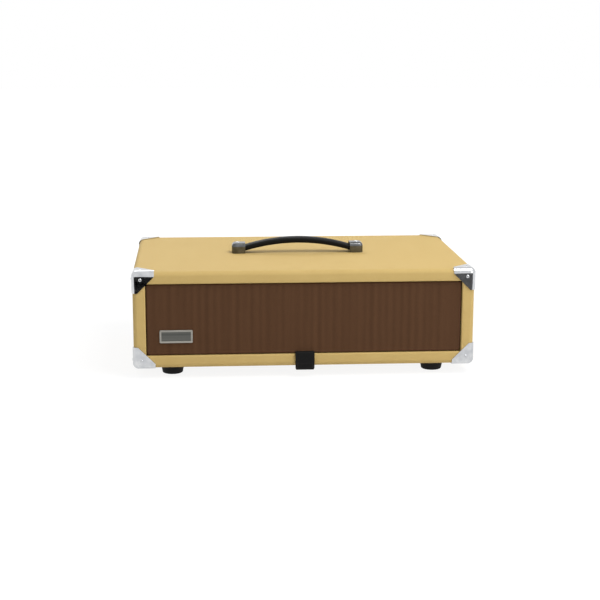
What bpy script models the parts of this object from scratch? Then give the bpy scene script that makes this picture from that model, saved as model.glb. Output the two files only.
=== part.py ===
"""A low valve guitar amplifier head in a cloth-covered box, with a pull-off grille cover, in metres.

+Z is up and the grille faces -Y. The origin is on the floor, under the middle of the box.
"""

import math

import bmesh
import bpy
from mathutils import Matrix, Vector

# ---------------------------------------------------------------- driving dimensions
BOX_WIDTH = 0.570
BOX_DEPTH = 0.365
BOX_HEIGHT = 0.163
WALL = 0.021
EDGE_RADIUS = 0.008
FOOT_HEIGHT = 0.018
GAP = 0.0003  # left between pieces that rest on or run in each other

# The box and the room inside it
LEFT, RIGHT = -BOX_WIDTH / 2, BOX_WIDTH / 2
FRONT, BACK = -BOX_DEPTH / 2, BOX_DEPTH / 2
BOTTOM = FOOT_HEIGHT
TOP = BOTTOM + BOX_HEIGHT
ROOM_LEFT, ROOM_RIGHT = LEFT + WALL, RIGHT - WALL
ROOM_BOTTOM, ROOM_TOP = BOTTOM + WALL, TOP - WALL

# Corner caps
CAP_LEG = 0.036
CAP_PROUD = 0.0018
CAP_DIAGONAL = 2 * WALL  # x + y + z at the slanted cut, which leaves the grille cover's corners free

# Feet
FOOT_RADIUS = 0.020
FOOT_INSET_X = 0.0635
FOOT_INSET_Y = 0.045

# Handle
HANDLE_CAP = Vector((0.0255, 0.028, 0.0185))
HANDLE_CAP_X = 0.10375  # middle of each end cap
HANDLE_SHEET = 0.0012
HANDLE_ROUNDING = 0.005
STRAP_HALF_LENGTH = 0.1135
STRAP_CAPTIVE_X = 0.100  # beyond this the strap lies level inside its end cap
STRAP_END_HEIGHT = 0.007
STRAP_RISE = 0.016
STRAP_WIDTH = 0.024
STRAP_THICKNESS = 0.0105

# Grille cover
COVER_RECESS = 0.003
COVER_CLEARANCE = 0.001
CLOTH = 0.001
COVER_BOARD = 0.009
COVER_BACK = FRONT + COVER_RECESS + CLOTH + GAP + COVER_BOARD
NOTCH_HALF_WIDTH = 0.018
NOTCH_HEIGHT = 0.0047
BADGE_SIZE = Vector((0.055, 0.0015, 0.022))
BADGE_X = LEFT + 0.0708
BADGE_Z = BOTTOM + 0.0534
TAB_WIDTH = 0.032
TAB_THICKNESS = 0.0028
TAB_OVERHANG = 0.006

# Battens, face plate and chassis
BATTEN = Vector((0.015, 0.0185, ROOM_TOP - ROOM_BOTTOM - 2 * GAP))
BATTEN_FRONT = FRONT + 0.0157
FACE_FRONT = BATTEN_FRONT + BATTEN.y + GAP
FACE_THICKNESS = 0.002
SHEET = 0.0015
CHASSIS_HALF_WIDTH = 0.252
CHASSIS_FRONT = FACE_FRONT + FACE_THICKNESS + GAP
CHASSIS_BACK = BACK - 0.026
CHASSIS_BOTTOM = ROOM_BOTTOM + GAP
CHASSIS_HEIGHT = 0.046
DECK = CHASSIS_BOTTOM + CHASSIS_HEIGHT
CHASSIS_FLANGE = 0.014
CONTROL_Z = CHASSIS_BOTTOM + CHASSIS_HEIGHT / 2

# Controls on the face plate, by their distance from the middle
KNOB_X = {"volume": -0.115, "treble": -0.055, "bass": 0.005, "master": 0.065}
INPUT_X = {"high": -0.215, "low": -0.175}
PILOT_X = 0.125
SWITCH_X = {"standby": 0.170, "power": 0.215}
BUSHING_RADIUS = 0.00475
SHAFT_RADIUS = 0.003
SHAFT_BORE = 0.0034
SWITCH_BUSHING_RADIUS = 0.006
PILOT_RADIUS = 0.0065
HOLE_CLEARANCE = 0.0005
JACK_BORE = 0.0033
LEVER_TILT = math.radians(14)
FRONT_WALLS = FACE_THICKNESS + GAP + SHEET + GAP  # from the face plate's front to the bodies behind it

# Rear connectors
SPEAKER_X = -0.100
FUSE_X = 0.135
INLET_X = 0.200
FUSE_RADIUS = 0.0065
FUSE_STEM_RADIUS = 0.0040
INLET_BODY = Vector((0.0275, 0.022, 0.0195))
INLET_CAVITY = Vector((0.0245, 0.0155, 0.0165))
REAR_WALLS = SHEET + GAP

# On the deck: middle of each piece, as (x, y)
PREAMP_VALVES = {"preamp_valve_1": (-0.175, 0.105), "preamp_valve_2": (-0.120, 0.105)}
POWER_VALVES = {"power_valve_1": (0.010, 0.105), "power_valve_2": (0.070, 0.105)}
POWER_TRANSFORMER = (0.190, 0.020)
OUTPUT_TRANSFORMER = (-0.060, 0.020)
CAPACITOR = (0.085, 0.020)
SOCKET_RADIUS = 0.0098
SOCKET_FLANGE_RADIUS = 0.0145
SOCKET_FLANGE = 0.003

# Rear guard
GUARD_BACK = BACK - 0.0105
GUARD_BOTTOM = DECK + 0.002
GUARD_FLANGE = 0.015

ROUND = 24
SMALL_ROUND = 16


# ---------------------------------------------------------------- scene and materials
def clear_scene():
    for obj in list(bpy.data.objects):
        bpy.data.objects.remove(obj, do_unlink=True)


def new_collection(name):
    collection = bpy.data.collections.new(name)
    bpy.context.scene.collection.children.link(collection)
    return collection


def linear(value):
    """One 0 to 255 display value as a linear one."""
    share = value / 255
    return share / 12.92 if share <= 0.04045 else ((share + 0.055) / 1.055) ** 2.4


def new_material(name, rgb, roughness, metallic=0.0):
    material = bpy.data.materials.new(name)
    material.use_nodes = True
    shader = material.node_tree.nodes["Principled BSDF"]
    shader.inputs["Base Color"].default_value = (*map(linear, rgb), 1.0)
    shader.inputs["Roughness"].default_value = roughness
    shader.inputs["Metallic"].default_value = metallic
    return material


clear_scene()
PARTS = new_collection("guitar_amp_head")
TOOLS = new_collection("cutters")
TWEED = new_material("tweed_covering", (218, 190, 130), 0.8)
CHROME = new_material("chrome", (200, 200, 200), 0.15, 1.0)
RUBBER = new_material("black_rubber", (16, 15, 14), 0.7)
LEATHER = new_material("black_leather", (22, 20, 17), 0.5)
GRILLE = new_material("brown_grille_cloth", (88, 62, 45), 0.9)
BLACK_WOOD = new_material("black_wood", (26, 25, 24), 0.8)
PEWTER = new_material("badge_metal", (150, 147, 138), 0.4, 1.0)
STEEL = new_material("plated_steel", (150, 152, 150), 0.4, 1.0)
PANEL = new_material("face_plate_paint", (52, 36, 26), 0.5)
GUARD = new_material("black_guard", (20, 20, 20), 0.5)
KNOB = new_material("cream_knob", (222, 205, 165), 0.35)
LAMINATION = new_material("transformer_iron", (48, 46, 44), 0.6, 0.6)
GLASS = new_material("valve_glass", (210, 214, 214), 0.1)
CERAMIC = new_material("socket_ceramic", (228, 222, 208), 0.5)
BRUSHED = new_material("capacitor_can", (176, 178, 180), 0.3, 1.0)
FIBRE = new_material("circuit_board_fibre", (120, 92, 48), 0.7)
NYLON = new_material("black_nylon", (20, 20, 21), 0.45)
JEWEL = new_material("red_jewel", (190, 20, 12), 0.15)


# ---------------------------------------------------------------- shape helpers
def place(name, mesh, location, material, tool=False):
    """Links a mesh as a part, or as a hidden tool that only cuts or joins."""
    obj = bpy.data.objects.new(name, mesh)
    obj.location = location
    if tool:
        obj.hide_render = True
        obj.display_type = "WIRE"
        TOOLS.objects.link(obj)
    else:
        mesh.materials.append(material)
        PARTS.objects.link(obj)
    return obj


def mesh_of(name, build):
    """A new mesh that the function build fills, given the open bmesh."""
    mesh = bpy.data.meshes.new(name)
    shape = bmesh.new()
    build(shape)
    shape.to_mesh(mesh)
    shape.free()
    return mesh


def rounded(obj, radius, segments=3):
    """Bevels every sharp edge."""
    bevel = obj.modifiers.new("rounded_edges", "BEVEL")
    bevel.width = radius
    bevel.segments = segments
    bevel.limit_method = "ANGLE"
    bevel.angle_limit = math.radians(40)


def block(name, low, high, material=None, radius=0.0, segments=3, tool=False):
    """A box between two corners, with its edges rounded where a radius is given."""
    low, high = Vector(low), Vector(high)

    def build(shape):
        bmesh.ops.create_cube(shape, size=1.0)
        bmesh.ops.scale(shape, vec=high - low, verts=shape.verts)

    obj = place(name, mesh_of(name, build), (low + high) / 2, material, tool)
    if radius:
        rounded(obj, radius, segments)
    return obj


def rod(name, start, end, radius, material=None, sides=ROUND, tool=False):
    """A straight rod between two points, with its origin in its middle."""
    start, end = Vector(start), Vector(end)

    def build(shape):
        bmesh.ops.create_cone(
            shape,
            cap_ends=True,
            segments=sides,
            radius1=radius,
            radius2=radius,
            depth=(end - start).length,
        )

    obj = place(name, mesh_of(name, build), (start + end) / 2, material, tool)
    obj.rotation_mode = "QUATERNION"
    obj.rotation_quaternion = (end - start).to_track_quat("Z", "Y")
    return obj


def turned(name, profile, origin, material=None, facing="Z", sides=ROUND, closed=False):
    """Turns a profile of (radius, height) points about the axis through the origin.

    The profile's heights run along +Z, or along -Y, the front, or +Y, the back.
    """

    def build(shape):
        points = [shape.verts.new((radius, 0, height)) for radius, height in profile]
        pairs = list(zip(points, points[1:]))
        if closed:
            pairs.append((points[-1], points[0]))
        for pair in pairs:
            shape.edges.new(pair)

    obj = place(name, mesh_of(name, build), origin, material)
    screw = obj.modifiers.new("turn", "SCREW")
    screw.axis = "Z"
    screw.angle = 2 * math.pi
    screw.steps = sides
    screw.render_steps = sides
    screw.use_merge_vertices = True
    screw.merge_threshold = 0.00002
    quarter = {"Z": 0, "-Y": 1, "Y": -1}[facing]
    obj.rotation_euler.x = quarter * math.pi / 2
    return obj


def outlined(name, outline, low, high, material=None, radius=0.0, tool=False):
    """A flat outline of (x, z) points, filled and thickened along Y from low to high."""
    curve = bpy.data.curves.new(name, "CURVE")
    curve.dimensions = "2D"
    curve.fill_mode = "BOTH"
    curve.extrude = (high - low) / 2
    spline = curve.splines.new("POLY")
    spline.points.add(len(outline) - 1)
    for point, (x, z) in zip(spline.points, outline):
        point.co = (x, z, 0, 1)
    spline.use_cyclic_u = True
    guide = bpy.data.objects.new(name + "_outline", curve)
    TOOLS.objects.link(guide)
    guide.rotation_euler.x = math.pi / 2
    guide.location.y = (low + high) / 2
    mesh = solid_mesh(guide)
    bpy.data.objects.remove(guide, do_unlink=True)
    obj = place(name, mesh, (0, 0, 0), material, tool)
    if radius:
        rounded(obj, radius, segments=2)
    return obj


def solid_mesh(obj):
    """The object's evaluated shape in world space as one welded mesh."""
    bpy.context.view_layer.update()
    graph = bpy.context.evaluated_depsgraph_get()
    mesh = bpy.data.meshes.new_from_object(obj.evaluated_get(graph))
    mesh.transform(obj.matrix_world)
    shape = bmesh.new()
    shape.from_mesh(mesh)
    bmesh.ops.remove_doubles(shape, verts=shape.verts, dist=0.000001)
    bmesh.ops.recalc_face_normals(shape, faces=shape.faces)
    shape.to_mesh(mesh)
    shape.free()
    return mesh


def boolean(obj, tool, operation):
    modifier = obj.modifiers.new(tool.name, "BOOLEAN")
    modifier.operation = operation
    modifier.object = tool


def cut(obj, *tools):
    for tool in tools:
        boolean(obj, tool, "DIFFERENCE")


def join(obj, *tools):
    for tool in tools:
        boolean(obj, tool, "UNION")


def repeated(pattern, places):
    """Finishes one piece and puts a copy of its mesh, as a separate object, at each named place."""
    mesh = solid_mesh(pattern)
    mesh.transform(Matrix.Translation(-pattern.location))
    mesh.materials.clear()
    mesh.materials.append(pattern.data.materials[0])
    bpy.data.objects.remove(pattern, do_unlink=True)
    copies = []
    for name, location in places.items():
        obj = bpy.data.objects.new(name, mesh)
        obj.location = location
        PARTS.objects.link(obj)
        copies.append(obj)
    return copies


def smooth_all():
    """Shades the parts smooth, with sharp edges where faces meet steeply."""
    for obj in PARTS.objects:
        obj.data.shade_smooth()
        obj.data.set_sharp_from_angle(angle=math.radians(35))


# ---------------------------------------------------------------- the box
def carcass_board(name, low, high):
    """The part of the rounded box that lies between two corners."""
    board = block(name, (LEFT, FRONT, BOTTOM), (RIGHT, BACK, TOP), TWEED, EDGE_RADIUS, 4)
    boolean(board, block(name + "_region", low, high, tool=True), "INTERSECT")
    return board


def carcass():
    """Four glued boards: the top and the bottom run over the ends of the sides."""
    past = 0.01  # how far a region runs past the box
    carcass_board(
        "top_board",
        (LEFT - past, FRONT - past, ROOM_TOP),
        (RIGHT + past, BACK + past, TOP + past),
    )
    carcass_board(
        "bottom_board",
        (LEFT - past, FRONT - past, BOTTOM - past),
        (RIGHT + past, BACK + past, ROOM_BOTTOM),
    )
    low, high = ROOM_BOTTOM + GAP, ROOM_TOP - GAP
    carcass_board("left_side_board", (LEFT - past, FRONT - past, low), (ROOM_LEFT, BACK + past, high))
    carcass_board("right_side_board", (ROOM_RIGHT, FRONT - past, low), (RIGHT + past, BACK + past, high))


def cap_region():
    """The space near the corner at the origin that a corner cap fills: a cube cut by a slanted plane."""

    def build(shape):
        bmesh.ops.create_cube(shape, size=1.0)
        span = CAP_LEG + 2 * CAP_PROUD
        bmesh.ops.scale(shape, vec=(span, span, span), verts=shape.verts)
        middle = span / 2 - 2 * CAP_PROUD
        bmesh.ops.translate(shape, vec=(middle, middle, middle), verts=shape.verts)
        sliced = bmesh.ops.bisect_plane(
            shape,
            geom=list(shape.verts) + list(shape.edges) + list(shape.faces),
            plane_co=Vector((1, 1, 1)) * CAP_DIAGONAL / 3,
            plane_no=(1, 1, 1),
            clear_outer=True,
        )
        rim = [item for item in sliced["geom_cut"] if isinstance(item, bmesh.types.BMEdge)]
        bmesh.ops.contextual_create(shape, geom=rim)
        bmesh.ops.recalc_face_normals(shape, faces=shape.faces)

    return place("cap_region", mesh_of("cap_region", build), (0, 0, 0), None, tool=True)


def corner_caps():
    """Eight pressed metal caps, each a thin shell that hugs one rounded corner of the box."""
    far = 3 * CAP_LEG
    proud = -CAP_PROUD
    shell = block("corner_cap", (proud,) * 3, (far,) * 3, CHROME, EDGE_RADIUS + CAP_PROUD, 4)
    wood = block("cap_wood", (-GAP,) * 3, (far + 0.01,) * 3, None, EDGE_RADIUS + GAP, 4, tool=True)
    cut(shell, wood)
    boolean(shell, cap_region(), "INTERSECT")
    pattern = solid_mesh(shell)
    bpy.data.objects.remove(shell, do_unlink=True)
    for side, x, sx in (("left", LEFT, 1), ("right", RIGHT, -1)):
        for end, y, sy in (("front", FRONT, 1), ("rear", BACK, -1)):
            for level, z, sz in (("bottom", BOTTOM, 1), ("top", TOP, -1)):
                mesh = pattern.copy()
                mesh.transform(Matrix.Diagonal((sx, sy, sz, 1)))
                if sx * sy * sz < 0:
                    mesh.flip_normals()
                name = f"corner_{end}_{level}_{side}"
                obj = bpy.data.objects.new(name, mesh)
                obj.location = (x, y, z)
                PARTS.objects.link(obj)


def feet():
    """Four tapered rubber feet with a countersunk hole for the fixing screw."""
    top = FOOT_HEIGHT - GAP
    screw_hole, recess, recess_depth = 0.0025, 0.008, 0.010
    profile = [
        (screw_hole, top),
        (FOOT_RADIUS, top),
        (FOOT_RADIUS, top - 0.004),
        (FOOT_RADIUS - 0.002, 0.0015),
        (FOOT_RADIUS - 0.0035, 0),
        (recess, 0),
        (recess, recess_depth),
        (screw_hole, recess_depth),
    ]
    x, y = RIGHT - FOOT_INSET_X, BACK - FOOT_INSET_Y
    pattern = turned("foot", profile, (0, 0, 0), RUBBER, closed=True)
    repeated(
        pattern,
        {
            "foot_front_left": (-x, -y, 0),
            "foot_front_right": (x, -y, 0),
            "foot_rear_left": (-x, y, 0),
            "foot_rear_right": (x, y, 0),
        },
    )


def battens():
    """Two upright strips of wood that the grille cover stands against and the face plate is screwed to."""
    for name, x in (("left", ROOM_LEFT + GAP), ("right", ROOM_RIGHT - GAP - BATTEN.x)):
        low = Vector((x, BATTEN_FRONT, ROOM_BOTTOM + GAP))
        block(f"front_batten_{name}", low, low + BATTEN, BLACK_WOOD)


# ---------------------------------------------------------------- handle
def handle_caps():
    """Two pressed metal caps, open below and towards the strap, that hold the strap's ends down."""
    half = HANDLE_CAP / 2
    for name, side in (("left", -1), ("right", 1)):
        x = side * HANDLE_CAP_X
        cap = block(
            f"handle_cap_{name}",
            (x - half.x, -half.y, TOP - 0.010),
            (x + half.x, half.y, TOP + HANDLE_CAP.z),
            CHROME,
            HANDLE_ROUNDING,
            3,
        )
        cut(
            cap,
            block(cap.name + "_base", (x - 0.03, -0.03, TOP - 0.03), (x + 0.03, 0.03, TOP + GAP), tool=True),
        )
        blind, mouth = x + side * (half.x - HANDLE_SHEET), x - side * 0.03
        hollow_low = (min(blind, mouth), -half.y + HANDLE_SHEET, TOP - 0.02)
        hollow_high = (max(blind, mouth), half.y - HANDLE_SHEET, TOP + HANDLE_CAP.z - HANDLE_SHEET)
        radius = HANDLE_ROUNDING - HANDLE_SHEET
        cut(cap, block(cap.name + "_hollow", hollow_low, hollow_high, None, radius, 3, True))


def strap_middle(x):
    """Height of the strap's middle above the box: an arch that levels out inside the end caps."""
    share = min(abs(x) / STRAP_CAPTIVE_X, 1)
    return STRAP_END_HEIGHT + STRAP_RISE * (1 - share**2)


def handle_strap():
    """A moulded strap that arches up between its end caps."""
    stations = 28

    def build(shape):
        bmesh.ops.create_cube(shape, size=1.0)
        along = [e for e in shape.edges if abs(e.verts[0].co.x - e.verts[1].co.x) > 0.5]
        bmesh.ops.subdivide_edges(shape, edges=along, cuts=stations, use_grid_fill=True)
        for vertex in shape.verts:
            x = 2 * vertex.co.x * STRAP_HALF_LENGTH
            flare = 0.0015 * (x / STRAP_HALF_LENGTH) ** 4
            thinning = 0.0005 * (x / STRAP_HALF_LENGTH) ** 2
            vertex.co.z = strap_middle(x) + vertex.co.z * (STRAP_THICKNESS - thinning)
            vertex.co.y *= STRAP_WIDTH - flare
            vertex.co.x = x

    strap = place("handle_strap", mesh_of("handle_strap", build), (0, 0, TOP), LEATHER)
    rounded(strap, 0.003, segments=2)


# ---------------------------------------------------------------- grille cover
def cover_low(inset):
    """Lower left corner of the cover, in (x, z), drawn in by inset."""
    return ROOM_LEFT + COVER_CLEARANCE + inset, ROOM_BOTTOM + COVER_CLEARANCE + inset


def cover_block(name, inset, front, back, material=None, tool=False):
    x, z = cover_low(inset)
    return block(name, (x, front, z), (-x, back, ROOM_TOP + ROOM_BOTTOM - z), material, tool=tool)


def grille_cover():
    """A board in a wrap of grille cloth, with a notch below for the pull tab's root."""
    front = FRONT + COVER_RECESS
    board_front = front + CLOTH + GAP
    past = 0.01
    notch_low = (-NOTCH_HALF_WIDTH, front - past, ROOM_BOTTOM - past)
    notch_high = (NOTCH_HALF_WIDTH, COVER_BACK + past, ROOM_BOTTOM + NOTCH_HEIGHT)
    board = cover_block("grille_board", CLOTH + GAP, board_front, COVER_BACK, BLACK_WOOD)
    cut(board, block("board_notch", notch_low, notch_high, tool=True))
    cloth = cover_block("grille_cloth", 0, front, COVER_BACK, GRILLE)
    cut(
        cloth,
        cover_block("cloth_inside", CLOTH, front + CLOTH, COVER_BACK + past, tool=True),
        block("cloth_notch", notch_low, notch_high, tool=True),
    )


def badge_plate():
    """A bare metal plate with a raised rim."""
    back = FRONT + COVER_RECESS - GAP
    half = BADGE_SIZE / 2
    rim = 0.0018
    plate = block(
        "badge_plate",
        (BADGE_X - half.x, back - BADGE_SIZE.y, BADGE_Z - half.z),
        (BADGE_X + half.x, back, BADGE_Z + half.z),
        PEWTER,
        0.0005,
        2,
    )
    field_low = (BADGE_X - half.x + rim, back - 2 * BADGE_SIZE.y, BADGE_Z - half.z + rim)
    field_high = (BADGE_X + half.x - rim, back - 0.6 * BADGE_SIZE.y, BADGE_Z + half.z - rim)
    cut(plate, block("badge_field", field_low, field_high, tool=True))


def pull_tab():
    """The root of the tab, fixed in the cover's notch, and the flap that hangs over the box's front edge."""
    half = TAB_WIDTH / 2
    roof = ROOM_BOTTOM + NOTCH_HEIGHT - GAP
    floor = roof - TAB_THICKNESS
    hang_back = FRONT - 0.0012
    block("pull_tab_root", (-half, FRONT + GAP, floor), (half, COVER_BACK, roof), LEATHER)
    flap = block(
        "pull_tab",
        (-half, hang_back - TAB_THICKNESS, BOTTOM - TAB_OVERHANG),
        (half, hang_back, roof),
        LEATHER,
        0.0006,
        1,
    )
    join(flap, block("tab_lip", (-half, hang_back - 0.001, floor), (half, FRONT - GAP, roof), tool=True))


# ---------------------------------------------------------------- chassis and face plate
def along_y(name, x, z, radius, low, high, sides=ROUND):
    """A drill that runs along Y."""
    return rod(name, (x, low, z), (x, high, z), radius, sides=sides, tool=True)


def front_holes():
    """Each control's hole in the face plate and the chassis, as (x, radius)."""
    holes = [(x, BUSHING_RADIUS) for x in (*KNOB_X.values(), *INPUT_X.values())]
    holes += [(x, SWITCH_BUSHING_RADIUS) for x in SWITCH_X.values()]
    holes.append((PILOT_X, PILOT_RADIUS))
    return [(x, radius + HOLE_CLEARANCE) for x, radius in holes]


def slots(name, count, pitch, width, low, high, y_low, y_high):
    """A row of upright slot cutters, as one tool."""

    def build(shape):
        for index in range(count):
            made = bmesh.ops.create_cube(shape, size=1.0)["verts"]
            bmesh.ops.scale(shape, vec=(width, y_high - y_low, high - low), verts=made)
            x = (index - (count - 1) / 2) * pitch
            bmesh.ops.translate(shape, vec=(x, (y_low + y_high) / 2, (low + high) / 2), verts=made)

    return place(name, mesh_of(name, build), (0, 0, 0), None, tool=True)


def face_plate():
    """The control panel: a painted plate with drilled holes below and slots for cooling air above."""
    low = (ROOM_LEFT + GAP, FACE_FRONT, ROOM_BOTTOM + GAP)
    high = (ROOM_RIGHT - GAP, FACE_FRONT + FACE_THICKNESS, ROOM_TOP - GAP)
    plate = block("face_plate", low, high, PANEL)
    for index, (x, radius) in enumerate(front_holes()):
        cut(plate, along_y(f"face_hole_{index}", x, CONTROL_Z, radius, FACE_FRONT - 0.01, FACE_FRONT + 0.02))
    vent_low, vent_high = DECK + 0.012, ROOM_TOP - 0.016
    cut(plate, slots("face_vents", 30, 0.015, 0.006, vent_low, vent_high, FACE_FRONT - 0.01, FACE_FRONT + 0.02))


def chassis():
    """A folded steel tray, open below and at its ends, with the wall flanges turned in."""
    section = [
        (CHASSIS_FRONT + CHASSIS_FLANGE, CHASSIS_BOTTOM),
        (CHASSIS_FRONT, CHASSIS_BOTTOM),
        (CHASSIS_FRONT, DECK),
        (CHASSIS_BACK, DECK),
        (CHASSIS_BACK, CHASSIS_BOTTOM),
        (CHASSIS_BACK - CHASSIS_FLANGE, CHASSIS_BOTTOM),
    ]

    def build(shape):
        ends = [
            [shape.verts.new((x, y, z)) for y, z in section]
            for x in (-CHASSIS_HALF_WIDTH, CHASSIS_HALF_WIDTH)
        ]
        for index in range(len(section) - 1):
            left, right = ends
            shape.faces.new((left[index], right[index], right[index + 1], left[index + 1]))

    tray = place("chassis", mesh_of("chassis", build), (0, 0, 0), STEEL)
    sheet = tray.modifiers.new("sheet", "SOLIDIFY")
    sheet.thickness = SHEET
    sheet.offset = -1
    sheet.use_even_offset = True
    for index, (x, radius) in enumerate(front_holes()):
        hole = along_y(f"chassis_hole_{index}", x, CONTROL_Z, radius, CHASSIS_FRONT - 0.01, CHASSIS_FRONT + 0.01)
        cut(tray, hole)
    rear_low, rear_high = CHASSIS_BACK - 0.01, CHASSIS_BACK + 0.01
    for name, x, radius in (("speaker", SPEAKER_X, BUSHING_RADIUS), ("fuse", FUSE_X, FUSE_RADIUS)):
        cut(tray, along_y(f"{name}_hole", x, CONTROL_Z, radius + HOLE_CLEARANCE, rear_low, rear_high))
    opening = INLET_BODY / 2 + Vector((HOLE_CLEARANCE,) * 3)
    inlet_low = (INLET_X - opening.x, rear_low, CONTROL_Z - opening.z)
    inlet_high = (INLET_X + opening.x, rear_high, CONTROL_Z + opening.z)
    cut(tray, block("inlet_hole", inlet_low, inlet_high, tool=True))
    for name, (x, y) in {**PREAMP_VALVES, **POWER_VALVES}.items():
        start, end = (x, y, DECK - 0.01), (x, y, DECK + 0.01)
        cut(tray, rod(f"{name}_hole", start, end, SOCKET_RADIUS + HOLE_CLEARANCE, tool=True))


def rear_guard():
    """A slotted steel guard over the valves, with a flange along its top."""
    low = (ROOM_LEFT + GAP, GUARD_BACK - SHEET, GUARD_BOTTOM)
    high = (ROOM_RIGHT - GAP, GUARD_BACK, ROOM_TOP - GAP)
    guard = block("rear_guard", low, high, GUARD)
    flange_low = (low[0], GUARD_BACK - GUARD_FLANGE, ROOM_TOP - GAP - SHEET)
    join(guard, block("guard_flange", flange_low, high, tool=True))
    vent_low, vent_high = GUARD_BOTTOM + 0.012, ROOM_TOP - 0.018
    cut(guard, slots("guard_vents", 32, 0.015, 0.006, vent_low, vent_high, GUARD_BACK - 0.01, GUARD_BACK + 0.01))


# ---------------------------------------------------------------- controls
def nut(name, x, surface, outward, radius):
    """A hexagonal nut on a panel that faces -Y (outward -1) or +Y (outward 1)."""
    start = (x, surface + outward * GAP, CONTROL_Z)
    end = (x, surface + outward * 0.0023, CONTROL_Z)
    return rod(name, start, end, radius, sides=6, tool=True)


def pots():
    """Four potentiometers: a round body behind the panel and a threaded bushing through it."""
    x = KNOB_X["volume"]
    back = -FRONT_WALLS
    profile = [
        (0, 0.005),
        (BUSHING_RADIUS, 0.005),
        (BUSHING_RADIUS, back),
        (0.012, back),
        (0.012, back - 0.010),
        (0, back - 0.010),
    ]
    pattern = turned("pot", profile, (x, FACE_FRONT, CONTROL_Z), STEEL, "-Y", SMALL_ROUND)
    join(pattern, nut("pot_nut", x, FACE_FRONT, -1, 0.0068))
    bore_front, bore_back = FACE_FRONT - 0.01, FACE_FRONT + 0.004
    cut(pattern, along_y("shaft_bore", x, CONTROL_Z, SHAFT_BORE, bore_front, bore_back, SMALL_ROUND))
    repeated(pattern, {f"{name}_pot": (x, FACE_FRONT, CONTROL_Z) for name, x in KNOB_X.items()})


def pointer_outline(x, z):
    """A bar that is round at its tail and narrows to a pointer above the shaft."""
    tail, tip_half, tip = 0.0075, 0.0016, 0.0165
    turns = 9
    start = math.radians(20)
    sweep = math.pi + 2 * start
    points = [(x - tip_half, z + tip), (x + tip_half, z + tip)]
    for index in range(turns):
        angle = start - sweep * index / (turns - 1)
        points.append((x + tail * math.cos(angle), z + tail * math.sin(angle)))
    return points


def knobs():
    """Four pointer knobs, each with its shaft. A knob's origin is on the axis that it turns about."""
    x = KNOB_X["volume"]
    front = FACE_FRONT - 0.0155
    skirt = [(0, 0.0095), (0.0095, 0.0095), (0.0115, 0.0058), (0, 0.0058)]
    pattern = turned("knob", skirt, (x, FACE_FRONT, CONTROL_Z), KNOB, "-Y", ROUND)
    outline = pointer_outline(x, CONTROL_Z)
    bar = outlined("knob_bar", outline, front, FACE_FRONT - 0.0075, radius=0.0008, tool=True)
    shaft_front, shaft_back = (x, front + 0.004, CONTROL_Z), (x, FACE_FRONT + 0.003, CONTROL_Z)
    shaft = rod("knob_shaft", shaft_front, shaft_back, SHAFT_RADIUS, sides=SMALL_ROUND, tool=True)
    join(pattern, bar, shaft)
    repeated(pattern, {f"{name}_knob": (x, FACE_FRONT, CONTROL_Z) for name, x in KNOB_X.items()})


def jack(name, x, panel, outward, walls):
    """A quarter-inch jack socket: a moulded body behind the panel, a bushing through it and an open bore."""
    facing = "-Y" if outward < 0 else "Y"
    profile = [
        (JACK_BORE, 0.0045),
        (BUSHING_RADIUS, 0.0045),
        (BUSHING_RADIUS, -walls - 0.002),
        (JACK_BORE, -walls - 0.002),
    ]
    socket = turned(name, profile, (x, panel, CONTROL_Z), NYLON, facing, SMALL_ROUND, closed=True)
    start, end = sorted((panel - outward * walls, panel - outward * (walls + 0.026)))
    low, high = (x - 0.009, start, CONTROL_Z - 0.010), (x + 0.009, end, CONTROL_Z + 0.010)
    body = block(name + "_body", low, high, tool=True)
    bore = along_y(name + "_bore", x, CONTROL_Z, JACK_BORE, panel - 0.028, panel + 0.028, SMALL_ROUND)
    ring = nut(name + "_nut", x, panel, outward, 0.0074)
    join(socket, body, ring)
    cut(socket, bore)


def switches():
    """Two toggle switches, each a body with a bushing, and the lever that tips in the bushing's mouth."""
    for name, x in SWITCH_X.items():
        profile = [
            (0, 0.0025),
            (0.0036, 0.0025),
            (0.0050, 0.006),
            (SWITCH_BUSHING_RADIUS, 0.006),
            (SWITCH_BUSHING_RADIUS, -FRONT_WALLS - 0.001),
            (0, -FRONT_WALLS - 0.001),
        ]
        body = turned(f"{name}_switch", profile, (x, FACE_FRONT, CONTROL_Z), STEEL, "-Y", SMALL_ROUND)
        back = FACE_FRONT + FRONT_WALLS
        case_low, case_high = (x - 0.0075, back, CONTROL_Z - 0.014), (x + 0.0075, back + 0.020, CONTROL_Z + 0.014)
        case = block(f"{name}_case", case_low, case_high, tool=True)
        join(body, case, nut(f"{name}_nut", x, FACE_FRONT, -1, 0.0086))
        lever_profile = [
            (0, 0.0125),
            (0.0018, 0.0121),
            (0.0030, 0.0100),
            (0.0028, 0.0075),
            (0.0017, 0.0010),
            (0.0020, 0),
            (0.0016, -0.0012),
            (0, -0.0018),
        ]
        pivot = (x, FACE_FRONT - 0.0045, CONTROL_Z)
        lever = turned(f"{name}_lever", lever_profile, pivot, CHROME, "-Y", 12)
        lever.rotation_euler.x += LEVER_TILT


def pilot_lamp():
    """A jewelled lamp: a lamp holder behind the panel, a bezel and a domed lens."""
    back = -FRONT_WALLS
    profile = [
        (0, 0.0085),
        (0.0030, 0.0078),
        (0.0052, 0.0055),
        (0.0060, 0.0028),
        (0.0080, 0.0026),
        (0.0085, GAP),
        (PILOT_RADIUS, GAP),
        (PILOT_RADIUS, back - 0.024),
        (0, back - 0.024),
    ]
    turned("pilot_lamp", profile, (PILOT_X, FACE_FRONT, CONTROL_Z), JEWEL, "-Y", ROUND)


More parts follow.
